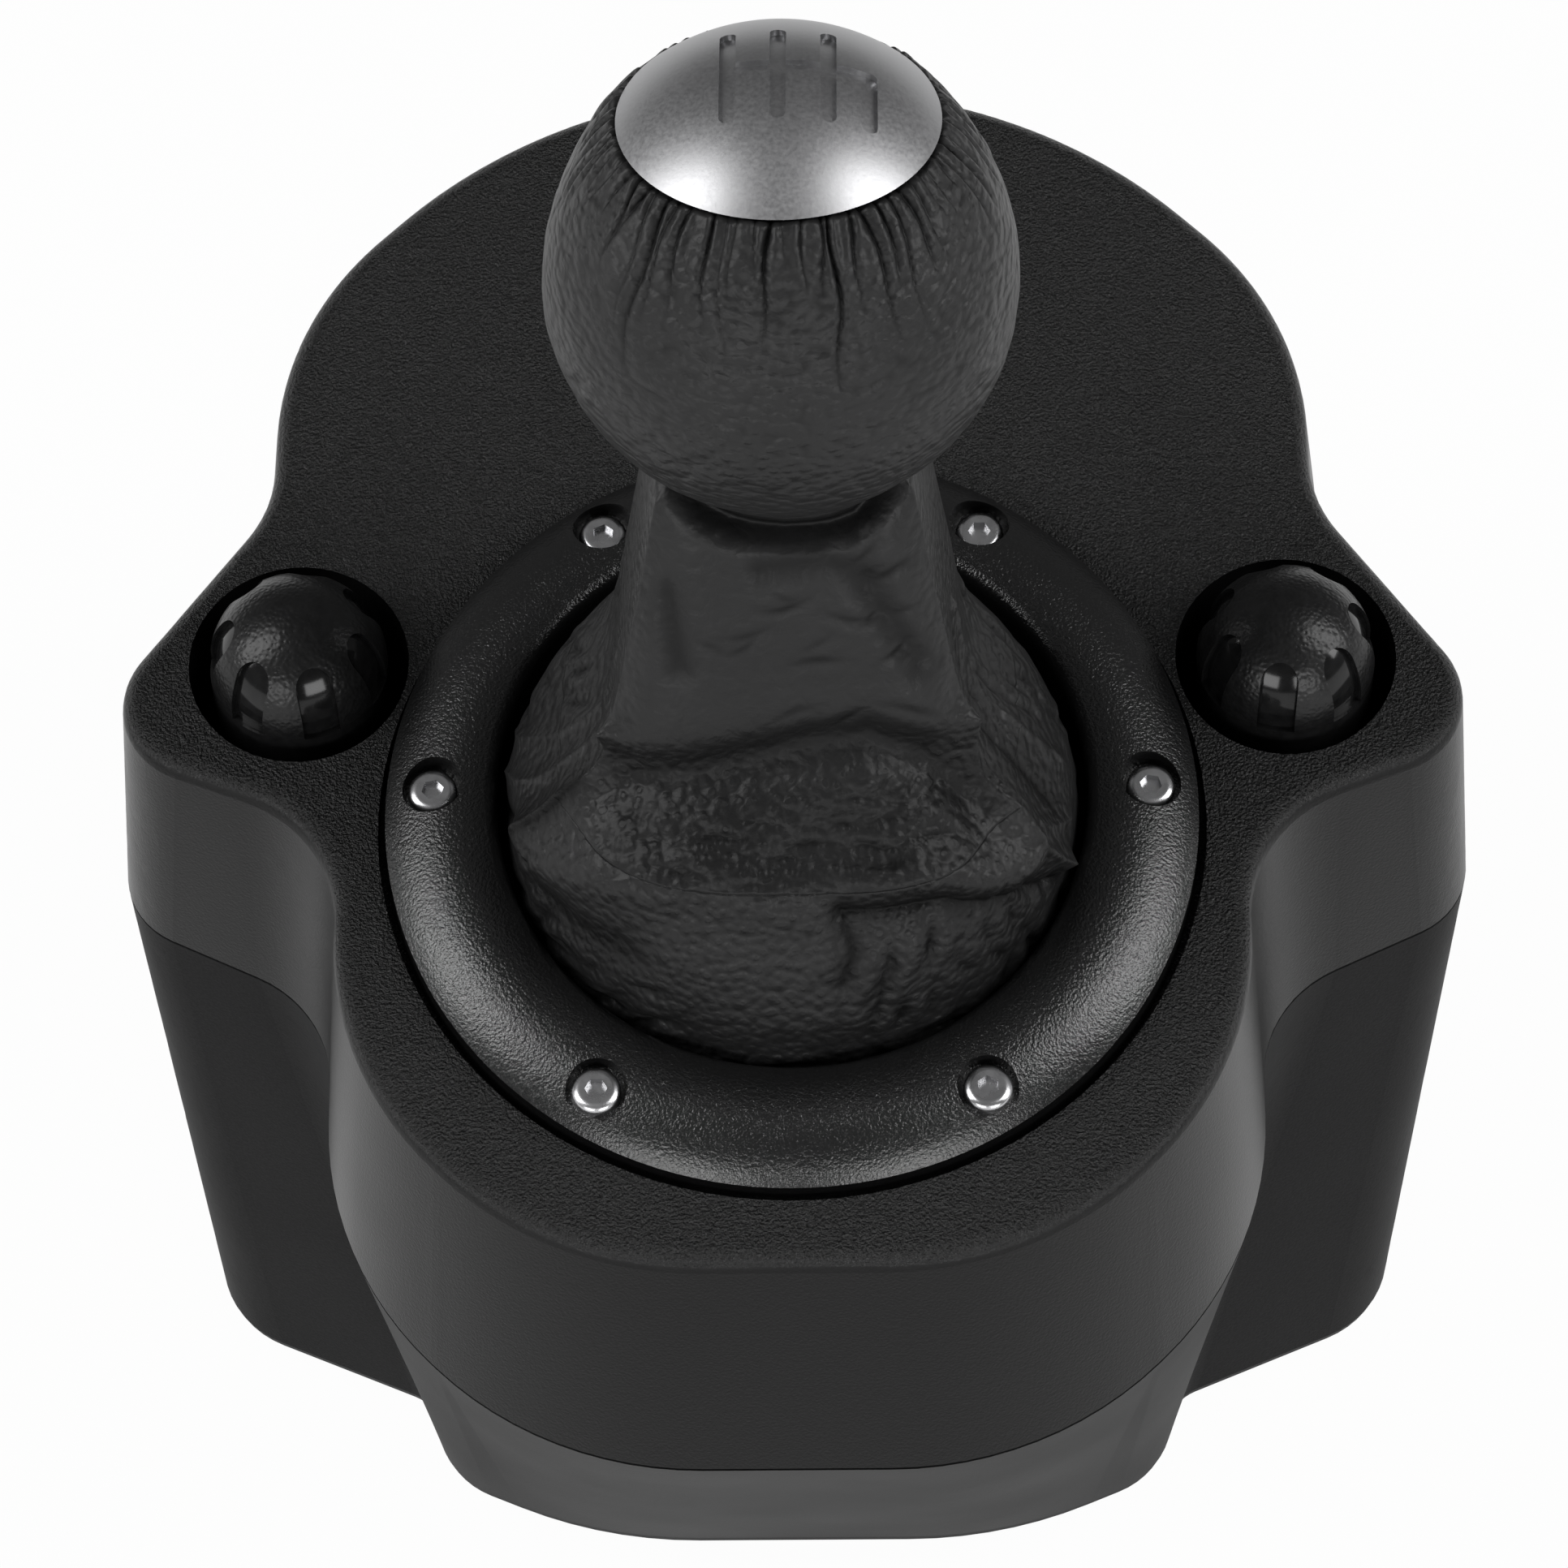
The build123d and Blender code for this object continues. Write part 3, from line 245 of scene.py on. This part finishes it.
def leather(name, level, cell, rough, stretch=(1, 1, 1)):
    """Leather: raised pebbles where the mesh asks for them, with painted shade and less shine in creases, in
    other shaded places the mesh marks and between pebbles.
    """
    # The near-black colour is painted shade, and the lower shine goes with it
    painted_shade_colour = (0.001, 0.001, 0.001, 1)
    open_shine, crease_shine = 0.3, 0.05
    pebble_gap_shade_share = 0.6
    made = Nodes(name)
    place = made.stretched(stretch)
    share = made.add("ShaderNodeAttribute", attribute_name="pebble").outputs["Fac"]
    # The crease attribute holds painted shade: in creases and folds, and on the boot's shelf
    crease = made.add("ShaderNodeAttribute", attribute_name="crease").outputs["Fac"]
    apart = made.cells(cell, place)
    raised = made.math("MULTIPLY", made.span(apart, 0.25, 0.8, 1, 0), share)
    # Painted shade in the gaps between the pebbles
    between = made.math("MULTIPLY", made.span(apart, 0.5, 0.85, 0, pebble_gap_shade_share), share)
    dark = made.math("MAXIMUM", crease, between)
    fine = made.noise(cell * 3, 2.0)
    wrinkle = made.noise(420, 2.5, place=place, distortion=0.8)
    large = made.noise(70, 2.0)
    base = made.ramp(large, [(0.3, grey(level * 0.85)), (0.75, grey(level * 1.25))])
    mix = made.add("ShaderNodeMix", data_type="RGBA")
    made.link(dark, mix.inputs["Factor"])
    made.link(base, mix.inputs[mix_first])
    mix.inputs[mix_second].default_value = painted_shade_colour
    made.link(mix.outputs[mix_result], made.shader.inputs["Base Color"])
    made.link(made.span(dark, 0, 1, open_shine, crease_shine), made.shader.inputs["Specular IOR Level"])
    made.roughness(large, rough - 0.04, rough + 0.04)
    made.bump([(wrinkle, 0.0004, 0.45), (raised, 0.00045, 0.75), (fine, 0.00006, 0.35)])
    return made.material


def metal(name, level, rough, grain, depth):
    made = Nodes(name)
    fine = made.noise(grain, 3.0, 0.6)
    made.colour(fine, 0.3, 0.75, grey(level * 0.9), grey(level * 1.06))
    made.shader.inputs["Metallic"].default_value = 1
    made.roughness(fine, rough - 0.04, rough + 0.05)
    made.bump([(fine, depth, 0.35)])
    return made.material


def tinted(name, dark, light, rough, grain, depth, metallic=0):
    made = Nodes(name)
    fine = made.noise(grain, 3.0)
    made.colour(fine, 0.3, 0.75, dark, light)
    made.shader.inputs["Metallic"].default_value = metallic
    made.roughness(fine, rough - 0.05, rough + 0.05)
    made.bump([(fine, depth, 0.4)])
    return made.material


def clamp_knob_material(name, centre, radius, recess):
    """Pebbled dome with glossy finger windows where the surface lies below the dome."""
    grain_ends_below, grain_fades_below = 0.0012, 0.0006
    window_rough, grain_rough = 0.12, 0.33
    pebble_depth = 0.00013
    made = Nodes(name)
    parts = made.add("ShaderNodeSeparateXYZ")
    made.link(made.place, parts.inputs["Vector"])
    level = made.math("MAXIMUM", made.math("SUBTRACT", parts.outputs["Z"], centre.z), 0.0)
    across = made.math("SUBTRACT", parts.outputs["X"], centre.x)
    along = made.math("SUBTRACT", parts.outputs["Y"], centre.y)
    squares = [made.math("MULTIPLY", value, value) for value in (level, across, along)]
    total = made.math("ADD", made.math("ADD", squares[0], squares[1]), squares[2])
    distance = made.math("POWER", total, 0.5)
    outer = made.span(distance, radius - recess * 0.6, radius - recess * 0.4)
    above = made.span(parts.outputs["Z"], centre.z - grain_ends_below, centre.z - grain_fades_below)
    grain_share = made.math("MULTIPLY", outer, above)
    pebbles = made.cells(2300)
    fine = made.noise(900, 2.0)
    made.colour(fine, 0.3, 0.7, grey(0.006), grey(0.01))
    made.link(made.span(grain_share, 0, 1, window_rough, grain_rough), made.shader.inputs["Roughness"])
    made.shader.inputs["Specular IOR Level"].default_value = 0.3
    height = made.math("MULTIPLY", pebbles, grain_share)
    made.bump([(height, pebble_depth, 0.5)])
    return made.material


def paint(material, *names):
    """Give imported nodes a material."""
    for name in names:
        nodes[name].data.materials.clear()
        nodes[name].data.materials.append(material)


case_top = textured_plastic("case_top", 0.0045, 3000, 0.0006, 0.32, 0.34, 0.07)
case_bottom = textured_plastic("case_bottom", 0.0095, 3000, 0.00008, 0.55, 0.18, 0.4)
bezel_plastic = textured_plastic("bezel_plastic", 0.0045, 3000, 0.00012, 0.24, 0.7)
plate_plastic = textured_plastic("plate_plastic", 0.018, 1800, 0.00006, 0.5)
inner_plastic = textured_plastic("inner_plastic", 0.03, 1600, 0.00006, 0.5)
boot_leather = leather("boot_leather", 0.0085, 1050, 0.46)
knob_leather = leather("ball_leather", 0.0105, 850, 0.48, (1, 1, 1.4))
satin_metal = metal("satin_metal", 0.4, 0.42, 2600, 0.00002)
polished_steel = metal("polished_steel", 0.62, 0.27, 500, 0.00001)
zinc_steel = metal("zinc_steel", 0.5, 0.3, 700, 0.00002)
coated_steel = tinted("coated_steel", (0.02, 0.02, 0.022), (0.04, 0.04, 0.042), 0.4, 900, 0.00005)
rubber = tinted("foot_rubber", (0.008, 0.008, 0.008), (0.02, 0.02, 0.02), 0.75, 1400, 0.0001)
slide_plastic = tinted("slide_plastic", (0.6, 0.58, 0.52), (0.7, 0.69, 0.64), 0.45, 300, 0.00003)
brass = tinted("turned_brass", (0.5, 0.34, 0.12), (0.62, 0.45, 0.18), 0.3, 800, 0.00002, 1)
board = tinted("board_green", (0.01, 0.07, 0.03), (0.02, 0.12, 0.05), 0.3, 500, 0.00002)

paint(case_top, "upper_housing")
paint(case_bottom, "lower_housing")
paint(bezel_plastic, "bezel_ring")
paint(plate_plastic, "base_plate")
paint(inner_plastic, "boot_frame", "boot_collar", "gimbal_yoke", "fore_aft_sensor", "side_sensor",
      "reverse_sensor", "reverse_flag", "knob_core")
paint(satin_metal, "knob_cap")
paint(polished_steel, "bezel_screws", "fore_aft_pins", "side_pins", "centring_springs", "detent_spring",
      "return_spring", "lever_tube", "push_rod", "clamp_screw_left", "clamp_screw_right", "clamp_guide_left",
      "clamp_guide_right", "retaining_ring_left", "retaining_ring_right")
paint(zinc_steel, "case_screws", "base_screws", "frame_screws", "gate_screws", "gate_plate", "clamp_jaw_left",
      "clamp_jaw_right")
paint(coated_steel, "ballast_plate", "mechanism_frame")
paint(slide_plastic, "pivot_bushes", "gimbal_block", "detent_plunger", "detent_plate", "clamp_bush_left",
      "clamp_bush_right")
paint(brass, "mount_inserts", "knob_insert")
paint(rubber, "rubber_feet", "cable_gland", "jaw_pad_left", "jaw_pad_right")
paint(board, "circuit_board")

clamp_knob_radius = 0.0092
window_depth = 0.0007
for side in ("left", "right"):
    low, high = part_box(f"clamp_knob_{side}")
    centre = Vector(((low[0] + high[0]) / 2, (low[1] + high[1]) / 2, high[2] - clamp_knob_radius))
    knob_plastic = clamp_knob_material(f"clamp_knob_{side}_plastic", centre, clamp_knob_radius, window_depth)
    paint(knob_plastic, f"clamp_knob_{side}")


# Leather of the ball

leather_thickness = 0.0012
ball_columns = 1080
ball_rows = 260
rim_angle = math.acos(rim_height / ball_crown)
tuck_angle = rim_angle - math.radians(2.0)
foot_angle = math.pi - math.asin(ball_foot_radius / ball_radius)
tuck_depth = 0.0014
gather_count = 66
shallow_gather = 0.0002
deep_gather = 0.0008
gather_waves = 14
gather_sway = 0.014
# Low waves of the ball's surface: count round it, height and phase
ball_waves = ((3, 0.0001, 0.4), (5, 0.00009, 2.0), (9, 0.00005, 1.1), (23, 0.00004, 0.7))
ball_crease_count = 90
shallow_crease = 0.00004
deep_crease = 0.00016
ball_pebble_share = 0.6


def gather_depth(turn, polar):
    """Depth in metres of the gathers that run down from the cap's rim, and the painted shade along each of
    them.
    """
    depth = np.zeros_like(turn)
    painted_shade = np.zeros_like(turn)
    spacing = math.tau / gather_count
    down = polar - rim_angle
    for index in range(gather_count):
        start = (index + generator.uniform(-0.4, 0.4)) * spacing
        length = generator.uniform(0.14, 0.42) + 0.34 * generator.random() ** 3
        width = generator.uniform(0.009, 0.017)
        strength = generator.uniform(shallow_gather, deep_gather)
        wander = generator.uniform(-0.12, 0.12)
        wave = generator.uniform(0, math.tau)
        centre = start + wander * down + gather_sway * np.sin(down * gather_waves + wave)
        apart = np.abs((turn - centre + math.pi) % math.tau - math.pi)
        fade = np.clip(1 - down / length, 0, 1) ** 0.8 * smooth_step(down, -0.08, 0.06)
        bank = np.exp(-((apart - 3 * width) / (2 * width)) ** 2)
        depth += strength * fade * (np.exp(-apart / width) - 0.3 * bank)
        # Painted shade along the middle of the gather
        painted_shade = np.maximum(painted_shade, strength / deep_gather * np.sqrt(fade) * np.exp(-(apart / width) ** 2))
    return depth, painted_shade


def ball_leather_points():
    """Turn and polar angle of each point, how far it stands out from the ball and how much painted shade it
    gets.
    """
    turn = np.linspace(0, math.tau, ball_columns, endpoint=False)[None, :]
    polar = np.linspace(tuck_angle, foot_angle, ball_rows)[:, None]
    turn, polar = np.broadcast_arrays(turn, polar)
    depth, painted_shade = gather_depth(turn, polar)
    outward = -depth
    outward -= tuck_depth * (1 - smooth_step(polar, tuck_angle, rim_angle + 0.03))
    for count, amount, phase in ball_waves:
        outward = outward + amount * np.sin(count * turn + phase) * np.sin(count * polar + phase)
    for index in range(ball_crease_count):
        at_turn, at_polar = generator.uniform(0, math.tau), generator.uniform(rim_angle + 0.3, 2.5)
        slope = generator.uniform(-0.5, 0.5)
        apart = (turn - at_turn + math.pi) % math.tau - math.pi
        above = polar - at_polar - slope * apart
        crease = np.exp(-(apart / 0.16) ** 2) * np.exp(-np.abs(above) / 0.02)
        outward = outward - generator.uniform(shallow_crease, deep_crease) * crease
    return turn, polar, outward, painted_shade


def on_ball(turn, polar, outward):
    """Points of the knob's surface, moved out by the given distance."""
    tall = np.where(polar < math.pi / 2, ball_crown, ball_radius)
    slope = np.hypot(tall * np.sin(polar), ball_radius * np.cos(polar))
    across = ball_radius * np.sin(polar) + outward * tall * np.sin(polar) / slope
    along = tall * np.cos(polar) + outward * ball_radius * np.cos(polar) / slope
    local = np.stack([across * np.cos(turn), across * np.sin(turn), along], -1)
    basis = np.array([[1, 0, 0], list(lever_forward), list(lever_up)])
    return local @ basis + np.array(ball_centre)


turn, polar, outward, painted_shade = ball_leather_points()
outer = on_ball(turn, polar, outward)
inner = on_ball(turn, polar, outward - leather_thickness)[::-1]
ball_cover = grid_mesh("ball_cover", np.concatenate([outer, inner]), close_ends=True)
ball_cover.data.materials.append(knob_leather)
# Painted shade of the gathers on the outer face, none on the inner face
mark_points(ball_cover, "crease", np.concatenate([painted_shade, 0 * painted_shade]))
mark_points(ball_cover, "pebble", np.full(2 * painted_shade.size, ball_pebble_share))
ball_cover.data.flip_normals()
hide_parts("knob_leather")
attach(ball_cover, "knob")


# Boot

boot_columns = 640
boot_rows = 320
opening_shift = 0.001
opening_centre = np.array([0, ring_y + opening_shift, ring_height])
# Height above the bezel's plane, half width, reach to the front and to the rear, and squareness of each ring.
boot_rings = [
    (-0.0050, 0.0290, 0.0290, 0.0262, 2.0),
    (0.0000, 0.0292, 0.0293, 0.0256, 2.0),
    (0.0040, 0.0290, 0.0292, 0.0246, 2.0),
    (0.0085, 0.0281, 0.0284, 0.0232, 2.1),
    (0.0125, 0.0268, 0.0268, 0.0218, 2.3),
    (0.0160, 0.0248, 0.0246, 0.0205, 2.6),
    (0.0195, 0.0224, 0.0216, 0.0195, 3.0),
    (0.0230, 0.0196, 0.0184, 0.0184, 3.6),
    (0.0270, 0.0176, 0.0163, 0.0172, 4.4),
    (0.0340, 0.0164, 0.0152, 0.0158, 5.0),
    (0.0420, 0.0150, 0.0146, 0.0148, 5.0),
    (0.0500, 0.0137, 0.0138, 0.0138, 4.6),
    (0.0560, 0.0126, 0.0128, 0.0128, 4.0),
]
# Folds: depth in millimetres, width in millimetres, whether sharp, and a path of degrees from the front and
# millimetres above the bezel's plane.
boot_folds = [
    (2.3, 1.5, True, [(-53, 28), (-57, 23), (-64, 18.8), (-73, 11.3)]),
    (2.3, 1.5, True, [(54, 29), (57, 22.9), (60, 18.5), (62, 14.2), (70, 7.5)]),
    (0.7, 1.6, True, [(-47, 56), (-50, 44), (-53, 28)]),
    (0.7, 1.6, True, [(49, 56), (52, 44), (54, 29)]),
    (-2.4, 2.7, False, [(-50, 24.5), (-22, 26.5), (8, 28.8), (24, 29.4), (44, 26.4), (54, 22)]),
    (1.3, 2.1, False, [(-66, 12.5), (-45, 17.5), (-23, 19.5), (-3, 18.5), (30, 19.5), (54, 15)]),
    (-2.6, 1.3, False, [(-46, 55.6), (-31, 54.0), (0, 53.2), (28, 53.4), (46, 55.6)]),
    (-1.3, 1.0, True, [(12, 17.6), (35, 17.0), (54, 12.5), (68, 6.5)]),
    (0.5, 1.4, False, [(14, 19.6), (35, 19.2), (54, 14.6)]),
    (-0.7, 0.8, True, [(12, 17.4), (14, 14.6), (11, 12.0)]),
    (0.4, 2.0, False, [(8, 16.0), (8, 9.0)]),
    (-0.9, 2.2, False, [(-62, 8.0), (-38, 11.5)]),
    (0.5, 0.7, True, [(-95, 5.0), (-76, 17.0), (-60, 29.0)]),
    (-0.6, 0.8, True, [(-88, 3.0), (-70, 13.0), (-59, 22.0)]),
    (0.4, 0.7, True, [(-104, 7.0), (-84, 19.0), (-66, 33.0)]),
    (0.5, 0.7, True, [(80, 36.0), (84, 22.0), (88, 12.0)]),
    (-0.5, 0.9, True, [(70, 34.0), (72, 24.0), (76, 13.0)]),
    (0.5, 0.7, True, [(60, 22.0), (66, 15.0), (78, 9.0)]),
    (-0.8, 1.8, False, [(30, 47.0), (42, 38.0)]),
    (-0.6, 1.5, False, [(-40, 46.0), (-34, 38.0)]),
    (-0.5, 1.8, False, [(-10, 49.5), (16, 50.5), (28, 48.0)]),
]
# Small wrinkles: count, ranges in degrees from the front, in millimetres above the bezel's plane and in
# degrees of slope, then length and depth in millimetres.
wrinkle_regions = [
    (34, (-72, -28), (-2, 9), (20, 80), 2.6, 0.36),
    (40, (14, 72), (-2, 15), (60, 120), 2.4, 0.36),
    (26, (-44, 46), (19.5, 25), (-12, 12), 3.2, 0.3),
    (26, (-60, 60), (-4, 2.5), (-25, 25), 2.6, 0.45),
    (26, (60, 150), (2, 34), (50, 130), 2.6, 0.4),
    (26, (-150, -60), (2, 34), (30, 80), 2.6, 0.34),
    (16, (-40, 45), (30, 52), (-40, 40), 3.0, 0.2),
]
unrolled_radius = 20
boot_leather_thickness = 0.0010
# Heights above the bezel's plane: where the boot starts and ends to lean with the lever, where its sheets
# meet, and where its corners rise.
lean_starts, lean_ends = 0.004, 0.034
boot_parting = 0.0190
corner_starts, corner_ends = 0.044, 0.056
corner_lift = 0.003
# Heights between which the folds grow out of the seat under the bezel
folds_start, folds_end = -0.0035, 0.0005
boot_pebble_share = 0.62
smooth_neck_share = 0.5


def spline_rows(table, count):
    """Smooth rows through a table of rings, evenly spaced along the table."""
    table = np.array(table)
    at = np.linspace(0, len(table) - 1, count)
    index = np.clip(np.floor(at).astype(int), 0, len(table) - 2)
    share = (at - index)[:, None]
    padded = np.concatenate([2 * table[:1] - table[1:2], table, 2 * table[-1:] - table[-2:-1]])
    before, low, high, after = (padded[index + step] for step in range(4))
    bend = 2 * before - 5 * low + 4 * high - after
    twist = 3 * low - before - 3 * high + after
    return 0.5 * (2 * low + (high - before) * share + bend * share ** 2 + twist * share ** 3)


def boot_points():
    """Points of the boot without folds, with the turn and the height above the bezel's plane of each."""
    rows = spline_rows(boot_rings, boot_rows)
    height, half, front, rear, power = (rows[:, column][:, None] for column in range(5))
    turn = np.linspace(0, math.tau, boot_columns, endpoint=False)[None, :]
    share = smooth_step(height, lean_starts, lean_ends)
    lean = -ring_tilt + (math.asin(lever_up.y) + ring_tilt) * share
    along = (ring_height + height - pivot.z) / lever_up.z
    lever_y = pivot.y + along * lever_up.y
    centre_y = opening_centre[1] + (lever_y - opening_centre[1]) * smooth_step(height, 0.0, lean_ends)
    across, deep = np.cos(turn), np.sin(turn)
    reach = np.where(deep < 0, front, rear)
    size = (np.abs(across) ** power + np.abs(deep) ** power) ** (-1 / power)
    x = half * size * across
    y = reach * size * deep
    points = np.stack([x + 0 * y, centre_y + y * np.cos(lean), ring_height + height - y * np.sin(lean)], -1)
    lift = corner_lift * smooth_step(height, corner_starts, corner_ends) * np.sin(2 * turn) ** 4
    points += lift[..., None] * np.array(lever_up)
    return points, turn + 0 * height, height + 0 * turn


def off_path(across, height, path):
    """Distance in millimetres from a path on the boot, unrolled at one radius."""
    nearest = np.full(across.shape, np.inf)
    places = [(math.radians(degrees) * unrolled_radius, level) for degrees, level in path]
    for (low_x, low_y), (high_x, high_y) in zip(places, places[1:]):
        way_x, way_y = high_x - low_x, high_y - low_y
        share = ((across - low_x) * way_x + (height - low_y) * way_y) / (way_x ** 2 + way_y ** 2)
        share = np.clip(share, 0, 1)
        apart = np.hypot(across - low_x - share * way_x, height - low_y - share * way_y)
        nearest = np.minimum(nearest, apart)
    return nearest


def small_wrinkles(across, height):
    """Short creases, with painted shade along each: most near the bezel, on the shelf over the bulge and on
    the sides.
    """
    push = np.zeros_like(across)
    painted_shade = np.zeros_like(across)
    for count, turns, levels, slopes, length, depth in wrinkle_regions:
        for index in range(count):
            at_x = math.radians(generator.uniform(*turns)) * unrolled_radius
            at_y = generator.uniform(*levels)
            slope = math.radians(generator.uniform(*slopes))
            half = generator.uniform(0.5, 1.0) * length
            bend = generator.uniform(-0.15, 0.15)
            along = (across - at_x) * math.cos(slope) + (height - at_y) * math.sin(slope)
            beside = (height - at_y) * math.cos(slope) - (across - at_x) * math.sin(slope)
            beside = np.abs(beside - bend * along ** 2 / half)
            fade = np.exp(-(along / half) ** 2)
            strength = generator.uniform(0.4, 1.0)
            bank = np.exp(-((beside - 1.3) / 0.8) ** 2)
            push -= strength * 1.3 * depth * fade * (np.exp(-beside / 0.5) - 0.5 * bank)
            # Painted shade along the middle of the wrinkle
            painted_shade = np.maximum(painted_shade, 0.75 * strength * fade * np.exp(-(beside / 0.4) ** 2))
    return push, painted_shade


def boot_shape():
    """Points of the folded boot, with the height, painted shade and pebble share of each."""
    points, turn, height = boot_points()
    rows_normal = np.gradient(points, axis=0)
    columns_normal = np.roll(points, -1, axis=1) - np.roll(points, 1, axis=1)
    normal = np.cross(columns_normal, rows_normal)
    normal /= np.linalg.norm(normal, axis=-1, keepdims=True)
    from_front = (turn + math.pi / 2 + math.pi) % math.tau - math.pi
    across = from_front * unrolled_radius
    level = height / millimetre
    push, painted_shade = small_wrinkles(across, level)
    sharp_fold_shade_share, soft_fold_shade_share, shelf_painted_shade_share = 0.8, 0.45, 0.35
    for depth, width, sharp, path in boot_folds:
        apart = off_path(across, level, path)
        shape = np.exp(-apart / width) if sharp else np.exp(-(apart / width) ** 2)
        push += depth * shape
        # Painted shade in the folds that sink in
        if depth < 0:
            painted_shade = np.maximum(painted_shade, (sharp_fold_shade_share if sharp else soft_fold_shade_share) * shape)
    # Painted shade on the shelf over the bulge, which faces up
    shelf = smooth_step(level, 17.5, 20.5) * (1 - smooth_step(level, 24.5, 28.5))
    shelf = shelf * (1 - smooth_step(np.abs(across), 15, 19))
    painted_shade = np.maximum(painted_shade, shelf_painted_shade_share * shelf)
    front_neck = smooth_step(level, 24, 32) * (1 - smooth_step(np.abs(across), 14, 20))
    pebble = boot_pebble_share - smooth_neck_share * front_neck
    push *= millimetre * smooth_step(height, folds_start, folds_end)
    return points + normal * push[..., None], height, painted_shade, pebble


def boot_piece(name, rows):
    """One of the boot's two sheets, from some of its rows."""
    piece = grid_mesh(name, boot_surface[rows])
    piece.data.materials.append(boot_leather)
    # The crease attribute carries the boot's painted shade
    mark_points(piece, "crease", boot_painted_shade[rows])
    mark_points(piece, "pebble", boot_pebbles[rows])
    return piece


def boot_row(height):
    """The row of points nearest to a height above the bezel's plane."""
    return int(np.argmin(np.abs(boot_heights[:, 0] - height)))


boot_surface, boot_heights, boot_painted_shade, boot_pebbles = boot_shape()
middle_row = boot_row(boot_parting)
boot_low = boot_piece("boot_skirt", slice(0, middle_row + 1))
boot_high = boot_piece("boot_neck", slice(middle_row, boot_rows))
for piece in (boot_low, boot_high):
    thickness = piece.modifiers.new("Thickness", "SOLIDIFY")
    thickness.thickness = boot_leather_thickness
    thickness.offset = -1
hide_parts("boot")
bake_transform(boot_low)
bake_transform(boot_high)


# Floor, light and camera

floor_size = 6.0
white_share = 0.97
world_strength = 0.14
light_aim = (0, -0.02, 0.1)
light_size = (0.5, 1.1)
light_watts = 11
fill_aim = (0, -0.02, 0.08)
fill_size = (0.6, 0.4)
fill_watts = 4.5


def make_floor():
    """A floor that camera and glossy rays see as white, and that lights the part as a plain grey one."""
    half = floor_size / 2
    corners = np.array([[[-half, -half, 0], [half, -half, 0]], [[-half, half, 0], [half, half, 0]]], float)
    floor = grid_mesh("floor", corners, close_around=False)
    made = Nodes("floor_white")
    cloud = made.noise(0.6)
    made.colour(cloud, 0.2, 0.8, (0.6, 0.6, 0.6), (0.64, 0.64, 0.64))
    made.shader.inputs["Roughness"].default_value = 0.7
    made.shader.inputs["Specular IOR Level"].default_value = 0.1
    glow = made.add("ShaderNodeEmission")
    glow.inputs["Strength"].default_value = 1.0
    mix = made.add("ShaderNodeMixShader")
    rays = made.add("ShaderNodeLightPath")
    seen = made.math("MAXIMUM", rays.outputs["Is Camera Ray"], rays.outputs["Is Glossy Ray"])
    made.link(made.math("MULTIPLY", seen, white_share), mix.inputs["Fac"])
    made.link(made.shader.outputs["BSDF"], mix.inputs[1])
    made.link(glow.outputs["Emission"], mix.inputs[2])
    made.link(mix.outputs["Shader"], made.tree.nodes["Material Output"].inputs["Surface"])
    floor.data.materials.append(made.material)


def soft_box(name, place, aim, size, watts):
    lamp = bpy.data.lights.new(name, "AREA")
    lamp.shape = "RECTANGLE"
    lamp.size, lamp.size_y = size
    lamp.energy = watts
    box = bpy.data.objects.new(name, lamp)
    box.location = place
    box.rotation_euler = (Vector(aim) - Vector(place)).to_track_quat("-Z", "Y").to_euler()
    bpy.context.scene.collection.objects.link(box)


def make_world():
    world = bpy.data.worlds.new("studio")
    bpy.context.scene.world = world
    world.use_nodes = True
    background = world.node_tree.nodes["Background"]
    background.inputs["Color"].default_value = (1, 1, 1, 1)
    background.inputs["Strength"].default_value = world_strength


def make_camera():
    data = bpy.data.cameras.new("camera")
    data.sensor_width = sensor_width
    data.lens = focal_pixels * sensor_width / photo_size
    data.shift_x = -(ring_pixel[0] - photo_size / 2) / photo_size
    data.shift_y = (ring_pixel[1] - photo_size / 2) / photo_size
    data.clip_start = 0.01
    camera = bpy.data.objects.new("camera", data)
    side = Vector((math.cos(camera_turn), math.sin(camera_turn), 0))
    away = Vector((-math.sin(camera_turn), math.cos(camera_turn), 0))
    ahead = away * math.cos(camera_elevation) - Vector((0, 0, math.sin(camera_elevation)))
    over = away * math.sin(camera_elevation) + Vector((0, 0, math.cos(camera_elevation)))
    right = side * math.cos(camera_roll) - over * math.sin(camera_roll)
    up = over * math.cos(camera_roll) + side * math.sin(camera_roll)
    turned = Matrix((right, up, -ahead)).transposed().to_4x4()
    place = Vector((0, ring_y, ring_height)) - ahead * camera_distance
    camera.matrix_world = Matrix.Translation(place) @ turned
    bpy.context.scene.collection.objects.link(camera)
    bpy.context.scene.camera = camera


make_floor()
make_world()
for side, word in ((-1, "left"), (1, "right")):
    soft_box(f"light_{word}", (side * 0.95, -0.12, 0.88), light_aim, light_size, light_watts)
    soft_box(f"fill_{word}", (side * 0.5, -1.15, 0.4), fill_aim, fill_size, fill_watts)
make_camera()
bpy.context.scene.view_settings.view_transform = "Standard"
